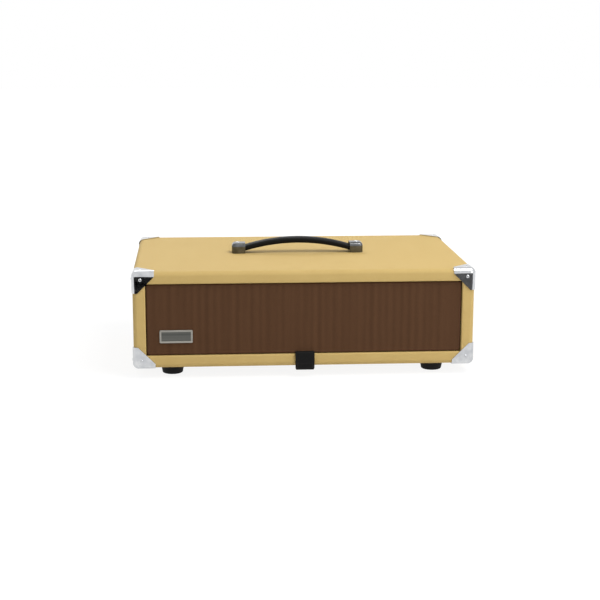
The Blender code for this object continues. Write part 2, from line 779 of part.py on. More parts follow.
# ---------------------------------------------------------------- rear connectors
def fuse():
    """A fuse holder and its bayonet cap, whose origin is on the axis that it turns about."""
    walls = REAR_WALLS
    bore = FUSE_STEM_RADIUS + 0.0007
    holder_profile = [
        (0, -walls - 0.020),
        (bore, -walls - 0.020),
        (bore, 0.002),
        (0.0085, 0.002),
        (0.0085, GAP),
        (FUSE_RADIUS, GAP),
        (FUSE_RADIUS, -walls - 0.026),
        (0, -walls - 0.026),
    ]
    origin = (FUSE_X, CHASSIS_BACK, CONTROL_Z)
    turned("fuse_holder", holder_profile, origin, NYLON, "Y", SMALL_ROUND)
    cap_profile = [
        (0, 0.0115),
        (0.0060, 0.0115),
        (0.0068, 0.0107),
        (0.0074, 0.0023),
        (FUSE_STEM_RADIUS, 0.0023),
        (FUSE_STEM_RADIUS, -0.018),
        (0, -0.018),
    ]
    cap = turned("fuse_cap", cap_profile, origin, NYLON, "Y", SMALL_ROUND)
    end = CHASSIS_BACK + 0.0115
    slot_low = (FUSE_X - 0.009, end - 0.0012, CONTROL_Z - 0.0007)
    slot_high = (FUSE_X + 0.009, end + 0.002, CONTROL_Z + 0.0007)
    cut(cap, block("fuse_slot", slot_low, slot_high, tool=True))


def mains_inlet():
    """A three-pin mains inlet: a flange outside the chassis and a hollow body with three blades."""
    half, cavity = INLET_BODY / 2, INLET_CAVITY / 2
    back = CHASSIS_BACK + GAP
    flange_high = back + 0.0025
    inlet = block(
        "mains_inlet",
        (INLET_X - 0.0245, back, CONTROL_Z - 0.0135),
        (INLET_X + 0.0245, flange_high, CONTROL_Z + 0.0135),
        NYLON,
    )
    body_low = (INLET_X - half.x, back - INLET_BODY.y, CONTROL_Z - half.z)
    body_high = (INLET_X + half.x, back + 0.001, CONTROL_Z + half.z)
    join(inlet, block("inlet_body", body_low, body_high, tool=True))
    mouth = flange_high + 0.01
    hollow_low = (INLET_X - cavity.x, flange_high - INLET_CAVITY.y, CONTROL_Z - cavity.z)
    hollow_high = (INLET_X + cavity.x, mouth, CONTROL_Z + cavity.z)
    cut(inlet, block("inlet_hollow", hollow_low, hollow_high, tool=True))
    for name, x, z in (("line", -0.007, 0.002), ("neutral", 0.007, 0.002), ("earth", 0, 0.005)):
        blade_low = (INLET_X + x - 0.001, flange_high - INLET_CAVITY.y - 0.002, CONTROL_Z + z - 0.002)
        blade_high = (INLET_X + x + 0.001, flange_high - 0.004, CONTROL_Z + z + 0.002)
        join(inlet, block(f"{name}_blade", blade_low, blade_high, tool=True))


# ---------------------------------------------------------------- on and under the deck
def valve_profile(radius, height):
    """A glass bulb that stands on its base, with a nipple at the top."""
    shoulder = radius * 0.9
    points = [(0, height), (0.0016, height - 0.0008), (0.0022, height - 0.004)]
    steps = 4
    for index in range(steps + 1):
        angle = math.pi / 2 * (1 - index / steps)
        points.append((max(0.003, radius * math.cos(angle)), height - 0.005 - shoulder * (1 - math.sin(angle))))
    points += [(radius, 0.003), (radius - 0.002, 0), (0, 0)]
    return points


def valves():
    """Two small and two larger valves, each in a ceramic socket let into the deck."""
    foot = DECK + GAP + SOCKET_FLANGE + GAP
    for places, radius, height in ((PREAMP_VALVES, 0.0105, 0.047), (POWER_VALVES, 0.011, 0.064)):
        pattern = turned("valve", valve_profile(radius, height), (0, 0, 0), GLASS, sides=SMALL_ROUND)
        repeated(pattern, {name: (x, y, foot) for name, (x, y) in places.items()})
    socket_profile = [
        (0.002, SOCKET_FLANGE),
        (SOCKET_FLANGE_RADIUS, SOCKET_FLANGE),
        (SOCKET_FLANGE_RADIUS, 0),
        (SOCKET_RADIUS, 0),
        (SOCKET_RADIUS, -0.012),
        (0.002, -0.012),
    ]
    pattern = turned("socket", socket_profile, (0, 0, 0), CERAMIC, sides=SMALL_ROUND, closed=True)
    places = {**PREAMP_VALVES, **POWER_VALVES}
    repeated(pattern, {f"{name}_socket": (x, y, DECK + GAP) for name, (x, y) in places.items()})


def transformer(name, place_xy, core, bell):
    """A stack of laminations standing on the deck, with a rounded bell on each face of the winding."""
    x, y = place_xy
    base = DECK + GAP
    stack = block(
        name,
        (x - core[0] / 2, y - core[1] / 2, base),
        (x + core[0] / 2, y + core[1] / 2, base + core[2]),
        LAMINATION,
    )
    rise = (core[2] - bell[2]) / 2
    bell_low = (x - bell[0] / 2, y - bell[1] / 2, base + rise)
    bell_high = (x + bell[0] / 2, y + bell[1] / 2, base + rise + bell[2])
    join(stack, block(name + "_bells", bell_low, bell_high, None, 0.009, 2, tool=True))


def filter_capacitor():
    """A can-type capacitor standing on the deck."""
    height, radius = 0.056, 0.0175
    profile = [
        (0, height),
        (radius - 0.003, height),
        (radius - 0.002, height + 0.001),
        (radius, height - 0.001),
        (radius, 0),
        (0, 0),
    ]
    turned("filter_capacitor", profile, (*CAPACITOR, DECK + GAP), BRUSHED)


def circuit_board():
    """The amplifier's board, hung from the deck on four posts."""
    half_x, low_y, high_y = 0.150, FRONT + 0.095, FRONT + 0.215
    level, thickness = DECK - 0.022, 0.0016
    board = block("circuit_board", (-half_x, low_y, level), (half_x, high_y, level + thickness), FIBRE)
    inset, ceiling = 0.008, DECK - SHEET - GAP
    for ix, x in enumerate((-half_x + inset, half_x - inset)):
        for iy, y in enumerate((low_y + inset, high_y - inset)):
            start, end = (x, y, level + 0.0005), (x, y, ceiling)
            join(board, rod(f"board_post_{ix}{iy}", start, end, 0.003, sides=6, tool=True))


def build_head():
    carcass()
    corner_caps()
    feet()
    battens()
    handle_caps()
    handle_strap()
    grille_cover()
    badge_plate()
    pull_tab()
    face_plate()
    chassis()
    rear_guard()
    pots()
    knobs()
    for name, x in INPUT_X.items():
        jack(f"input_jack_{name}", x, FACE_FRONT, -1, FRONT_WALLS)
    switches()
    pilot_lamp()
    jack("speaker_jack", SPEAKER_X, CHASSIS_BACK, 1, REAR_WALLS)
    fuse()
    mains_inlet()
    valves()
    transformer("power_transformer", POWER_TRANSFORMER, (0.080, 0.036, 0.066), (0.064, 0.068, 0.052))
    transformer("output_transformer", OUTPUT_TRANSFORMER, (0.064, 0.030, 0.054), (0.050, 0.054, 0.042))
    filter_capacitor()
    circuit_board()
    smooth_all()


build_head()
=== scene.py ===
"""The looks of a low guitar amp head: tweed box, woven grille cover, chrome corners and strap handle."""

import math

import bmesh
import bpy
from mathutils import Matrix, Vector, noise

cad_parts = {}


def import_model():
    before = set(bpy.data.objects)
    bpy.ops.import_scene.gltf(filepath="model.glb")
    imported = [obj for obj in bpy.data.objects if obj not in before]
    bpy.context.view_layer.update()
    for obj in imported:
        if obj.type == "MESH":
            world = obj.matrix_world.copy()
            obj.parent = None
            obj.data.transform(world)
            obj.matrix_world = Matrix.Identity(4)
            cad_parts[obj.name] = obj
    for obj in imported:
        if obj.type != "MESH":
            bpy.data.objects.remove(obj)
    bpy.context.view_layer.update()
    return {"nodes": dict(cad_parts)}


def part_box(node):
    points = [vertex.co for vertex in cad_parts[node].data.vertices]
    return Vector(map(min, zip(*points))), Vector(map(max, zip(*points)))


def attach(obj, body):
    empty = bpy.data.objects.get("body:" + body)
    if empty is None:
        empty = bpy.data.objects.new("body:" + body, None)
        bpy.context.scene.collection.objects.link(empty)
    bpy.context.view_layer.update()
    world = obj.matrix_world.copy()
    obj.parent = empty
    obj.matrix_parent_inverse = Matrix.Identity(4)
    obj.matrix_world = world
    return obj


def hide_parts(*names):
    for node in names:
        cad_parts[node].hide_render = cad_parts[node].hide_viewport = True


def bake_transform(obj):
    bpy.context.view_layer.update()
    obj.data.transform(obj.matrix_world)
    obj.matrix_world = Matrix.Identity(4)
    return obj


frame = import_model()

NODES = frame["nodes"]

# ---------------------------------------------------------------- places read from the frame
TOP_LOW, TOP_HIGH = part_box("top_board")
LEFT, RIGHT = TOP_LOW.x, TOP_HIGH.x
FRONT, BACK = TOP_LOW.y, TOP_HIGH.y
BOTTOM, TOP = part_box("bottom_board")[0].z, TOP_HIGH.z
WALL = TOP - TOP_LOW.z
MIDDLE_Z = (TOP + BOTTOM) / 2
FACE_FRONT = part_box("face_plate")[0].y
CHASSIS_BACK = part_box("chassis")[1].y
CONTROLS = ("volume", "treble", "bass", "master")

# ---------------------------------------------------------------- sizes of the finish
EDGE_RADIUS = 0.008
LIP_RADIUS = 0.0022
CAP_PROUD = 0.0018
CAP_LEG = 0.036
CAP_DIAGONAL = 2 * WALL
CAP_SHEET = 0.0014
CLOTH_WRAP = 0.012
CLOTH_CROWN = 0.0004
CLOTH_EDGE = 0.0022
CLOTH_THICKNESS = 0.0008
STRAP_HALF_LENGTH = 0.1135
STRAP_CAPTIVE_X = 0.100
STRAP_END_HEIGHT = 0.007
STRAP_RISE = 0.016
STRAP_WIDTH = 0.024
STRAP_THICKNESS = 0.0105
STRAP_TAPER_X = 0.104
STRAP_TAPER = 0.28
STRAP_STITCHED = 0.176
FOOT_TAPER = 0.0026
FOOT_EDGE = 0.0022
FOOT_RECESS_RADIUS = 0.0080
FOOT_RECESS_DEPTH = 0.010
WASHER_FACE = 0.0090
STRIP_SIDE = 0.002
STRIP_END = 0.02
FLANGE_SCREW_INSET = 0.007
FLANGE_SCREW_X = 0.16
CLEARANCE = 0.0001
CORNER_STEPS = 6

# ---------------------------------------------------------------- sizes on the control panel
SKIRT_FRONT = 0.0092
SKIRT_BACK = 0.0059
POINTER_FRONT = -0.0154
POINTER_BACK = -0.0080
DIAL_START = -150
DIAL_STEP = 30
TICK_RADIUS = 0.0178
NUMERAL_RADIUS = 0.0212
NUMERAL_SIZE = 0.0044
JACK_NUMERAL_SIZE = 0.005
JACK_NUMERAL_RISE = 0.0135
# Each nut: its radius over the corners, the radius of its hole and its height.
JACK_NUT = (0.0078, 0.0048, 0.0030)
SWITCH_NUT = (0.0092, 0.0061, 0.0030)
LAMP_BEZEL = (0.0096, 0.0086, 0.0022)


# ---------------------------------------------------------------- material nodes
def tint(rgb):
    """A display colour, 0 to 255, as an opaque linear one."""
    shares = [value / 255 for value in rgb]
    return (*(s / 12.92 if s <= 0.04045 else ((s + 0.055) / 1.055) ** 2.4 for s in shares), 1)


def feed(tree, socket, value):
    """Gives an input a number, or links another node's output to it."""
    if isinstance(value, bpy.types.NodeSocket):
        tree.links.new(value, socket)
    else:
        socket.default_value = value


def add_node(tree, kind, inputs, output=0, **settings):
    """Adds a node with its settings and inputs, and returns one of its outputs."""
    node = tree.nodes.new("ShaderNode" + kind)
    for setting, value in settings.items():
        setattr(node, setting, value)
    for socket, value in inputs.items():
        feed(tree, node.inputs[socket], value)
    return node.outputs[output]


class Finish:
    """A Principled material and short calls that add nodes to it."""

    def __init__(self, name, rgb=(128, 128, 128), roughness=0.5, metallic=0.0, **sockets):
        self.material = bpy.data.materials.new(name)
        self.material.use_nodes = True
        self.tree = self.material.node_tree
        self.shader = self.tree.nodes["Principled BSDF"]
        self.shader.inputs["Base Color"].default_value = tint(rgb)
        self.shader.inputs["Roughness"].default_value = roughness
        self.shader.inputs["Metallic"].default_value = metallic
        for socket, value in sockets.items():
            self.shader.inputs[socket.replace("_", " ")].default_value = value

    def add(self, kind, inputs, output=0, **settings):
        return add_node(self.tree, kind, inputs, output, **settings)

    def feed(self, socket, value):
        feed(self.tree, socket, value)

    def math(self, operation, first, second=0.0):
        return self.add("Math", {0: first, 1: second}, operation=operation)

    def place(self, kind="Object", scale=(1, 1, 1), turn=0.0):
        """Texture coordinates, stretched by scale and turned about Z."""
        base = self.add("TexCoord", {}, kind)
        return self.add("Mapping", {"Vector": base, "Scale": scale, "Rotation": (0, 0, turn)})

    def noise(self, vector, scale, detail=2.0, roughness=0.5):
        inputs = {"Vector": vector, "Scale": scale, "Detail": detail, "Roughness": roughness}
        return self.add("TexNoise", inputs)

    def bands(self, vector, pitch, direction="X", distortion=0.0):
        """Soft stripes across one direction, with the given distance from stripe to stripe."""
        inputs = {"Vector": vector, "Scale": math.pi / 10 / pitch, "Distortion": distortion}
        return self.add("TexWave", inputs, 1, bands_direction=direction)

    def ramp(self, factor, stops):
        node = self.tree.nodes.new("ShaderNodeValToRGB")
        self.feed(node.inputs[0], factor)
        while len(node.color_ramp.elements) < len(stops):
            node.color_ramp.elements.new(0.5)
        for element, (position, rgb) in zip(node.color_ramp.elements, stops):
            element.position = position
            element.color = tint(rgb)
        return node.outputs[0]

    def mix(self, factor, first, second, blend="MIX"):
        node = self.tree.nodes.new("ShaderNodeMix")
        node.data_type = "RGBA"
        node.blend_type = blend
        self.feed(node.inputs[0], factor)
        self.feed(node.inputs[6], first)
        self.feed(node.inputs[7], second)
        return node.outputs[2]

    def spread(self, factor, low, high):
        """A 0 to 1 value spread over low to high."""
        return self.add("MapRange", {"Value": factor, "To Min": low, "To Max": high})

    def colour(self, value):
        self.feed(self.shader.inputs["Base Color"], value)

    def rough(self, value):
        self.feed(self.shader.inputs["Roughness"], value)

    def bump(self, height, depth, strength=1.0):
        normal = self.add("Bump", {"Height": height, "Distance": depth, "Strength": strength})
        self.feed(self.shader.inputs["Normal"], normal)


def tweed():
    """Lacquered tweed: a diagonal twill of cream and tan yarns with darker flecks."""
    f = Finish("tweed_cloth", roughness=0.72, Specular_IOR_Level=0.35)
    flat = f.place("UV")
    slant = f.place("UV", turn=math.radians(45))
    wobble = f.noise(flat, 900, 2)
    twill = f.bands(slant, 0.0014, "X", 0.5)
    yarn = f.bands(slant, 0.0008, "Y", 0.4)
    fleck = f.noise(f.place("UV", (500, 2200, 1), math.radians(45)), 1, 2)
    patches = f.noise(flat, 28, 3, 0.6)
    stripe = f.ramp(twill, [(0.12, (190, 151, 80)), (0.45, (220, 187, 113)), (0.8, (244, 221, 154))])
    ground = f.mix(f.spread(yarn, 0.0, 0.35), stripe, tint((192, 157, 88)))
    flecked = f.mix(f.spread(fleck, -0.7, 0.7), ground, tint((160, 126, 68)))
    shade = f.ramp(patches, [(0.3, (250, 249, 245)), (0.7, (255, 255, 254))])
    f.colour(f.mix(1.0, flecked, shade, "MULTIPLY"))
    weave = f.math("ADD", f.math("MULTIPLY", twill, 0.55), f.math("MULTIPLY", yarn, 0.3))
    f.bump(f.math("ADD", weave, f.math("MULTIPLY", wobble, 0.25)), 0.00022, 0.8)
    f.rough(f.spread(wobble, 0.62, 0.82))
    return f.material


def grille_weave():
    """Coarse brown grille cloth: ribs that run upright, in uneven bands of light and dark."""
    f = Finish("grille_weave", roughness=0.9, Specular_IOR_Level=0.2)
    flat = f.place("UV")
    ribs = f.bands(flat, 0.0019, "X", 0.3)
    cross = f.bands(flat, 0.0013, "Y", 0.5)
    streak = f.noise(f.place("UV", (95, 1.5, 1)), 1, 1)
    broad = f.bands(flat, 0.0125, "X", 1.2)
    slub = f.noise(flat, 700, 2)
    tone = f.math("ADD", f.math("MULTIPLY", streak, 0.6), f.math("MULTIPLY", broad, 0.16))
    ground = f.ramp(tone, [(0.2, (85, 57, 37)), (0.45, (96, 66, 44)), (0.75, (106, 74, 50))])
    crossings = f.spread(f.math("MULTIPLY", ribs, cross), 0.0, 0.6)
    threads = f.mix(crossings, ground, tint((126, 88, 58)))
    gaps = f.mix(f.spread(slub, -0.2, 0.7), threads, tint((54, 35, 22)))
    f.colour(gaps)
    f.bump(f.math("ADD", f.math("MULTIPLY", ribs, 0.7), f.math("MULTIPLY", cross, 0.4)), 0.0003, 0.8)
    return f.material


def chrome():
    """Polished plate with faint scratches and slightly uneven gloss."""
    f = Finish("chrome_plate", (206, 208, 210), 0.12, 1.0)
    smear = f.noise(f.place(), 70, 4, 0.6)
    scratch = f.noise(f.place(scale=(1, 12, 1)), 600, 2)
    f.rough(f.spread(smear, 0.06, 0.18))
    f.colour(f.ramp(smear, [(0.3, (186, 188, 192)), (0.7, (216, 217, 218))]))
    f.bump(f.math("ADD", smear, f.math("MULTIPLY", scratch, 0.1)), 0.00012, 0.2)
    return f.material


def grained(name, dark, light, roughness, grain, depth):
    """Moulded strap or leather: a pebble grain, its colour and gloss varying a little in broad patches."""
    f = Finish(name, light, roughness, Specular_IOR_Level=0.14)
    where = f.place()
    pebbles = f.add("TexVoronoi", {"Vector": where, "Scale": grain}, 0)
    wear = f.noise(where, 45, 3, 0.6)
    f.colour(f.mix(f.spread(wear, 0.0, 1.0), tint(dark), tint(light)))
    f.rough(f.spread(wear, roughness - 0.1, roughness + 0.12))
    f.bump(f.math("ADD", pebbles, f.math("MULTIPLY", wear, 0.3)), depth, 0.7)
    return f.material


def speckled(name, dark, light, roughness, metallic=0.0, scale=300, depth=0.0001, **sockets):
    """A paint, plastic, rubber or metal whose colour and gloss vary a little."""
    f = Finish(name, light, roughness, metallic, **sockets)
    where = f.place()
    fine = f.noise(where, scale, 3, 0.6)
    broad = f.noise(where, scale / 12, 2)
    both = f.math("ADD", f.math("MULTIPLY", fine, 0.6), f.math("MULTIPLY", broad, 0.4))
    f.colour(f.ramp(both, [(0.35, dark), (0.65, light)]))
    f.rough(f.spread(both, roughness - 0.08, roughness + 0.12))
    f.bump(fine, depth, 0.6)
    return f.material


def brushed(name, dark, light, roughness, along=(4, 900, 900)):
    """Brushed or rolled metal: fine lines along one direction."""
    f = Finish(name, light, roughness, 1.0)
    lines = f.noise(f.place(scale=along), 1, 2)
    f.colour(f.ramp(lines, [(0.3, dark), (0.7, light)]))
    f.rough(f.spread(lines, roughness - 0.08, roughness + 0.15))
    f.bump(lines, 0.00003, 0.5)
    return f.material


def woven_tab():
    """Black webbing: tight ribs across the strip."""
    f = Finish("black_webbing", roughness=0.75, Specular_IOR_Level=0.2)
    ribs = f.bands(f.place("UV"), 0.0016, "Y", 0.2)
    cords = f.bands(f.place("UV"), 0.0011, "X", 0.2)
    both = f.math("MULTIPLY", ribs, cords)
    f.colour(f.ramp(both, [(0.1, (5, 5, 5)), (0.8, (22, 21, 19))]))
    f.bump(both, 0.0003, 0.8)
    return f.material


def plywood():
    f = Finish("bare_plywood", roughness=0.75)
    grain = f.noise(f.place(scale=(6, 6, 260)), 1, 3)
    f.colour(f.ramp(grain, [(0.35, (150, 112, 70)), (0.6, (190, 152, 104))]))
    f.bump(grain, 0.0002, 0.5)
    return f.material


def valve_glass():
    return Finish("valve_glass", (238, 240, 240), 0.03, Transmission_Weight=0.95, IOR=1.2).material


def jewel():
    f = Finish("red_jewel", (196, 18, 10), 0.06, Transmission_Weight=0.35, Coat_Weight=0.6)
    facets = f.add("TexVoronoi", {"Vector": f.place(), "Scale": 420}, 0)
    f.bump(facets, 0.0005, 0.6)
    return f.material


M = {
    "tweed": tweed(),
    "grille": grille_weave(),
    "chrome": chrome(),
    "strap": grained("black_strap", (5, 5, 4), (13, 12, 9), 0.5, 1300, 0.00012),
    # A darker copy of the chrome for the handle caps: painted dark reflections in their colour.
    "painted_dark_chrome": brushed("chrome_with_painted_dark_reflections", (78, 79, 80), (112, 113, 114), 0.16, (60, 60, 60)),
    "thread": speckled("strap_thread", (18, 17, 15), (36, 34, 30), 0.7, scale=2000),
    "webbing": woven_tab(),
    "rubber": speckled("black_rubber", (7, 7, 7), (17, 16, 16), 0.7, scale=700, Specular_IOR_Level=0.25),
    "wood": plywood(),
    "black_wood": speckled("black_stain", (16, 15, 14), (34, 32, 30), 0.75, scale=220),
    "badge_rim": brushed("badge_rim", (150, 147, 140), (188, 185, 176), 0.34),
    "badge_field": brushed("badge_field", (84, 85, 82), (116, 116, 111), 0.42),
    "steel": brushed("plated_steel", (140, 142, 140), (176, 178, 176), 0.36),
    "can": brushed("capacitor_can", (150, 152, 155), (186, 188, 190), 0.3, (900, 900, 5)),
    "panel": speckled("panel_paint", (44, 29, 21), (60, 41, 30), 0.42, scale=160, Coat_Weight=0.25),
    "guard": speckled("guard_paint", (12, 12, 12), (30, 30, 30), 0.5, scale=1400, depth=0.0003),
    "knob": speckled("cream_knob", (206, 186, 142), (226, 208, 166), 0.3, scale=120, Coat_Weight=0.3),
    "iron": speckled("transformer_iron", (34, 32, 30), (60, 57, 54), 0.55, 0.5, scale=300),
    "glass": valve_glass(),
    "ceramic": speckled("socket_ceramic", (212, 205, 190), (232, 227, 214), 0.45, scale=200),
    "fibre": speckled("board_fibre", (92, 68, 34), (130, 100, 56), 0.6, scale=400),
    "nylon": speckled("black_nylon", (15, 15, 16), (32, 32, 33), 0.45, scale=500),
    "jewel": jewel(),
    "print": speckled("cream_print", (222, 212, 186), (238, 230, 208), 0.5, scale=300),
    "hook": speckled("hook_and_loop", (10, 10, 10), (40, 39, 38), 0.95, scale=1600, depth=0.0008),
    "plate": speckled("valve_plates", (52, 53, 55), (92, 94, 96), 0.5, 0.8, scale=300),
}


# ---------------------------------------------------------------- mesh helpers
def finished(name, shape):
    """The bmesh as a mesh."""
    mesh = bpy.data.meshes.new(name)
    shape.to_mesh(mesh)
    shape.free()
    return mesh


def mesh_from(name, build):
    shape = bmesh.new()
    build(shape)
    return finished(name, shape)


def linked(name, data):
    """A new object in the scene."""
    obj = bpy.data.objects.new(name, data)
    bpy.context.scene.collection.objects.link(obj)
    return obj


def new_piece(name, mesh, material, body, slot, *replaced):
    """Links a finished mesh and says which body it rides on, its slot and what it stands for."""
    obj = linked(name, mesh)
    obj.data.materials.clear()
    obj.data.materials.append(M[material])
    obj.data.shade_smooth()
    if body:
        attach(obj, body)
    if replaced:
        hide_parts(*replaced)
    return obj


def sharpen(obj, degrees=38):
    """Keeps steep edges crisp and evens the shading of the flats beside rounded edges."""
    obj.data.set_sharp_from_angle(angle=math.radians(degrees))
    normals = obj.modifiers.new("even_shading", "WEIGHTED_NORMAL")
    normals.keep_sharp = True


def soften(obj, width, segments=3, degrees=30):
    bevel = obj.modifiers.new("soft_edges", "BEVEL")
    bevel.width = width
    bevel.segments = segments
    bevel.limit_method = "ANGLE"
    bevel.angle_limit = math.radians(degrees)


def applied(obj):
    """The object's mesh with its modifiers applied. The object itself is removed."""
    bpy.context.view_layer.update()
    graph = bpy.context.evaluated_depsgraph_get()
    mesh = bpy.data.meshes.new_from_object(obj.evaluated_get(graph))
    mesh.transform(obj.matrix_world)
    bpy.data.objects.remove(obj, do_unlink=True)
    return mesh


def loose(mesh):
    """A temporary object round a mesh, for its modifiers."""
    return linked("loose", mesh)


def thickened(mesh, thickness):
    """A temporary object that gives a sheet its thickness, inwards."""
    obj = loose(mesh)
    sheet = obj.modifiers.new("sheet", "SOLIDIFY")
    sheet.thickness = thickness
    sheet.offset = -1
    return obj


def loft(name, rows, uvs=None, closed=False, fill_ends=False):
    """Skins rows of points, each row a closed ring. uvs has one more entry in a row than points has."""

    def build(shape):
        rings = [[shape.verts.new(point) for point in row] for row in rows]
        layer = shape.loops.layers.uv.new("UVMap")
        count = len(rows[0])
        for r in range(len(rows) if closed else len(rows) - 1):
            after = (r + 1) % len(rows)
            for c in range(count):
                d = (c + 1) % count
                face = shape.faces.new((rings[r][c], rings[r][d], rings[after][d], rings[after][c]))
                if uvs:
                    corners = (uvs[r][c], uvs[r][c + 1], uvs[r + 1][c + 1], uvs[r + 1][c])
                    for loop, uv in zip(face.loops, corners):
                        loop[layer].uv = uv
        if fill_ends:
            for end in (0, -1):
                face = shape.faces.new(rings[end])
                if uvs:
                    for loop, uv in zip(face.loops, uvs[end]):
                        loop[layer].uv = uv
        bmesh.ops.recalc_face_normals(shape, faces=shape.faces)

    return mesh_from(name, build)


def rounded_ring(half_x, half_z, radius, steps=CORNER_STEPS):
    """Points (x, z) round a rectangle with round corners, anticlockwise from the right-hand side."""
    radius = max(min(radius, half_x, half_z), 0.00005)
    points = []
    for turn, (sx, sz) in enumerate(((1, 1), (-1, 1), (-1, -1), (1, -1))):
        for step in range(steps + 1):
            angle = math.pi / 2 * (turn + step / steps)
            x = sx * (half_x - radius) + radius * math.cos(angle)
            z = sz * (half_z - radius) + radius * math.sin(angle)
            points.append((x, z))
    return points


def lengths(points):
    """Distance travelled from the first point to each one, and back to the first at the end."""
    total, found = 0.0, [0.0]
    for (ax, az), (bx, bz) in zip(points, points[1:] + points[:1]):
        total += math.hypot(bx - ax, bz - az)
        found.append(total)
    return found


def lathe(profile, sides=48):
    """A mesh turned about Z from (radius, height) points that start and end on the axis."""

    def build(shape):
        rings = []
        turns = [2 * math.pi * i / sides for i in range(sides)]
        for radius, height in profile:
            ring = [(radius * math.cos(turn), radius * math.sin(turn), height) for turn in turns]
            rings.append([shape.verts.new(point) for point in (ring if radius else ring[:1])])
        for first, second in zip(rings, rings[1:]):
            for i in range(sides):
                a, b = first[i % len(first)], first[(i + 1) % len(first)]
                c, d = second[(i + 1) % len(second)], second[i % len(second)]
                corners = [v for k, v in enumerate((a, b, c, d)) if v not in (a, b, c, d)[:k]]
                if len(corners) > 2:
                    shape.faces.new(corners)
        bmesh.ops.recalc_face_normals(shape, faces=shape.faces)

    return mesh_from("turned", build)


def add_box(shape, low, high):
    """Adds a box between two corners to a bmesh."""
    bmesh.ops.create_cube(shape, size=1.0)
    bmesh.ops.scale(shape, vec=high - low, verts=shape.verts)
    bmesh.ops.translate(shape, vec=(low + high) / 2, verts=shape.verts)


def bar(low, high, radius=0.0, segments=3):
    """A box between two corners with rounded edges, as a mesh."""
    low, high = Vector(low), Vector(high)

    def build(shape):
        add_box(shape, low, high)
        if radius:
            bmesh.ops.bevel(
                shape, geom=shape.edges[:], offset=radius, segments=segments, affect="EDGES", profile=0.5
            )

    return mesh_from("bar", build)


def merged(name, parts):
    """One mesh made of several. The parts are removed."""
    shape = bmesh.new()
    for part in parts:
        shape.from_mesh(part)
        bpy.data.meshes.remove(part)
    return finished(name, shape)


def copies(name, pattern, matrices):
    """One mesh that holds a copy of the pattern at each matrix."""
    parts = []
    for matrix in matrices:
        part = pattern.copy()
        part.transform(matrix)
        if matrix.determinant() < 0:
            part.flip_normals()
        parts.append(part)
    return merged(name, parts)


def aimed(location, direction, spin=0.0):
    """A matrix that puts an upright pattern at a place with its top along direction."""
    turn = Vector(direction).to_track_quat("Z", "Y").to_matrix().to_4x4()
    return Matrix.Translation(location) @ turn @ Matrix.Rotation(spin, 4, "Z")


# ---------------------------------------------------------------- tweed-covered box
def quarter(count):
    return [math.pi / 2 * step / count for step in range(count + 1)]


def covering_profile():
    """How the covering runs, as (inset from the outside, distance behind the front)."""
    outer = [(EDGE_RADIUS * (1 - math.cos(a)), EDGE_RADIUS * (1 - math.sin(a))) for a in quarter(8)]
    lip = [
        (WALL - LIP_RADIUS + LIP_RADIUS * math.sin(a), LIP_RADIUS * (1 - math.cos(a))) for a in quarter(4)
    ]
    front = [*outer, ((outer[-1][0] + lip[0][0]) / 2, 0.0), *lip]
    depth = BACK - FRONT
    return front + [(inset, depth - y) for inset, y in reversed(front)]


def covering():
    """One seamless skin round the four boards, turned in over the front and back edges."""
    profile = covering_profile()
    rows, uvs = [], []
    along = lengths(rounded_ring((RIGHT - LEFT) / 2, (TOP - BOTTOM) / 2, EDGE_RADIUS))
    travelled = 0.0
    corner_points = CORNER_STEPS + 1
    for index, (inset, y) in enumerate([*profile, profile[0]]):
        if index:
            before = profile[index - 1]
            travelled += math.hypot(inset - before[0], y - before[1])
        ring = rounded_ring((RIGHT - LEFT) / 2 - inset, (TOP - BOTTOM) / 2 - inset, EDGE_RADIUS - inset)
        if index < len(profile):
            rows.append([(x, FRONT + y, MIDDLE_Z + z) for x, z in ring])
        spare = max(0.0, inset - EDGE_RADIUS)
        # Each side's cloth grows shorter at both ends, as on a mitre, so the weave isn't sheared.
        shifts = [spare * (2 * (point % corner_points) / CORNER_STEPS - 1) for point in range(len(along))]
        uvs.append([(u + shift, travelled) for u, shift in zip(along, shifts)])
    mesh = loft("tweed_covering", rows, uvs, closed=True)
    boards = ("top_board", "bottom_board", "left_side_board", "right_side_board")
    obj = new_piece("tweed_covering", mesh, "tweed", "cabinet", "tweed_covering", *boards)
    sharpen(obj, 60)


# ---------------------------------------------------------------- fasteners
def cross_head(radius, height):
    """A domed screw head with a cross recess."""
    steps = 6
    dome = [(radius * math.cos(a), height * math.sin(a)) for a in quarter(steps)]
    profile = [(0, -0.0004), (radius, -0.0004), *dome[:-1], (0, height)]
    head = loose(lathe(profile, 20))
    reach = radius * 0.55
    arm = bar((-reach, -radius * 0.11, height * 0.45), (reach, radius * 0.11, height * 2))
    cross = loose(copies("cross", arm, [Matrix.Identity(4), Matrix.Rotation(math.pi / 2, 4, "Z")]))
    recess = head.modifiers.new("recess", "BOOLEAN")
    recess.operation = "DIFFERENCE"
    recess.object = cross
    recess.use_self = True
    mesh = applied(head)
    bpy.data.objects.remove(cross, do_unlink=True)
    return mesh


def screws(name, places, radius, height, body="cabinet", material="chrome", slot="chrome"):
    """A group of cross-head screws, each at a place and along a direction."""
    pattern = cross_head(radius, height)
    spots = [aimed(where, out, 0.7 * index) for index, (where, out) in enumerate(places)]
    sharpen(new_piece(name, copies(name, pattern, spots), material, body, slot))


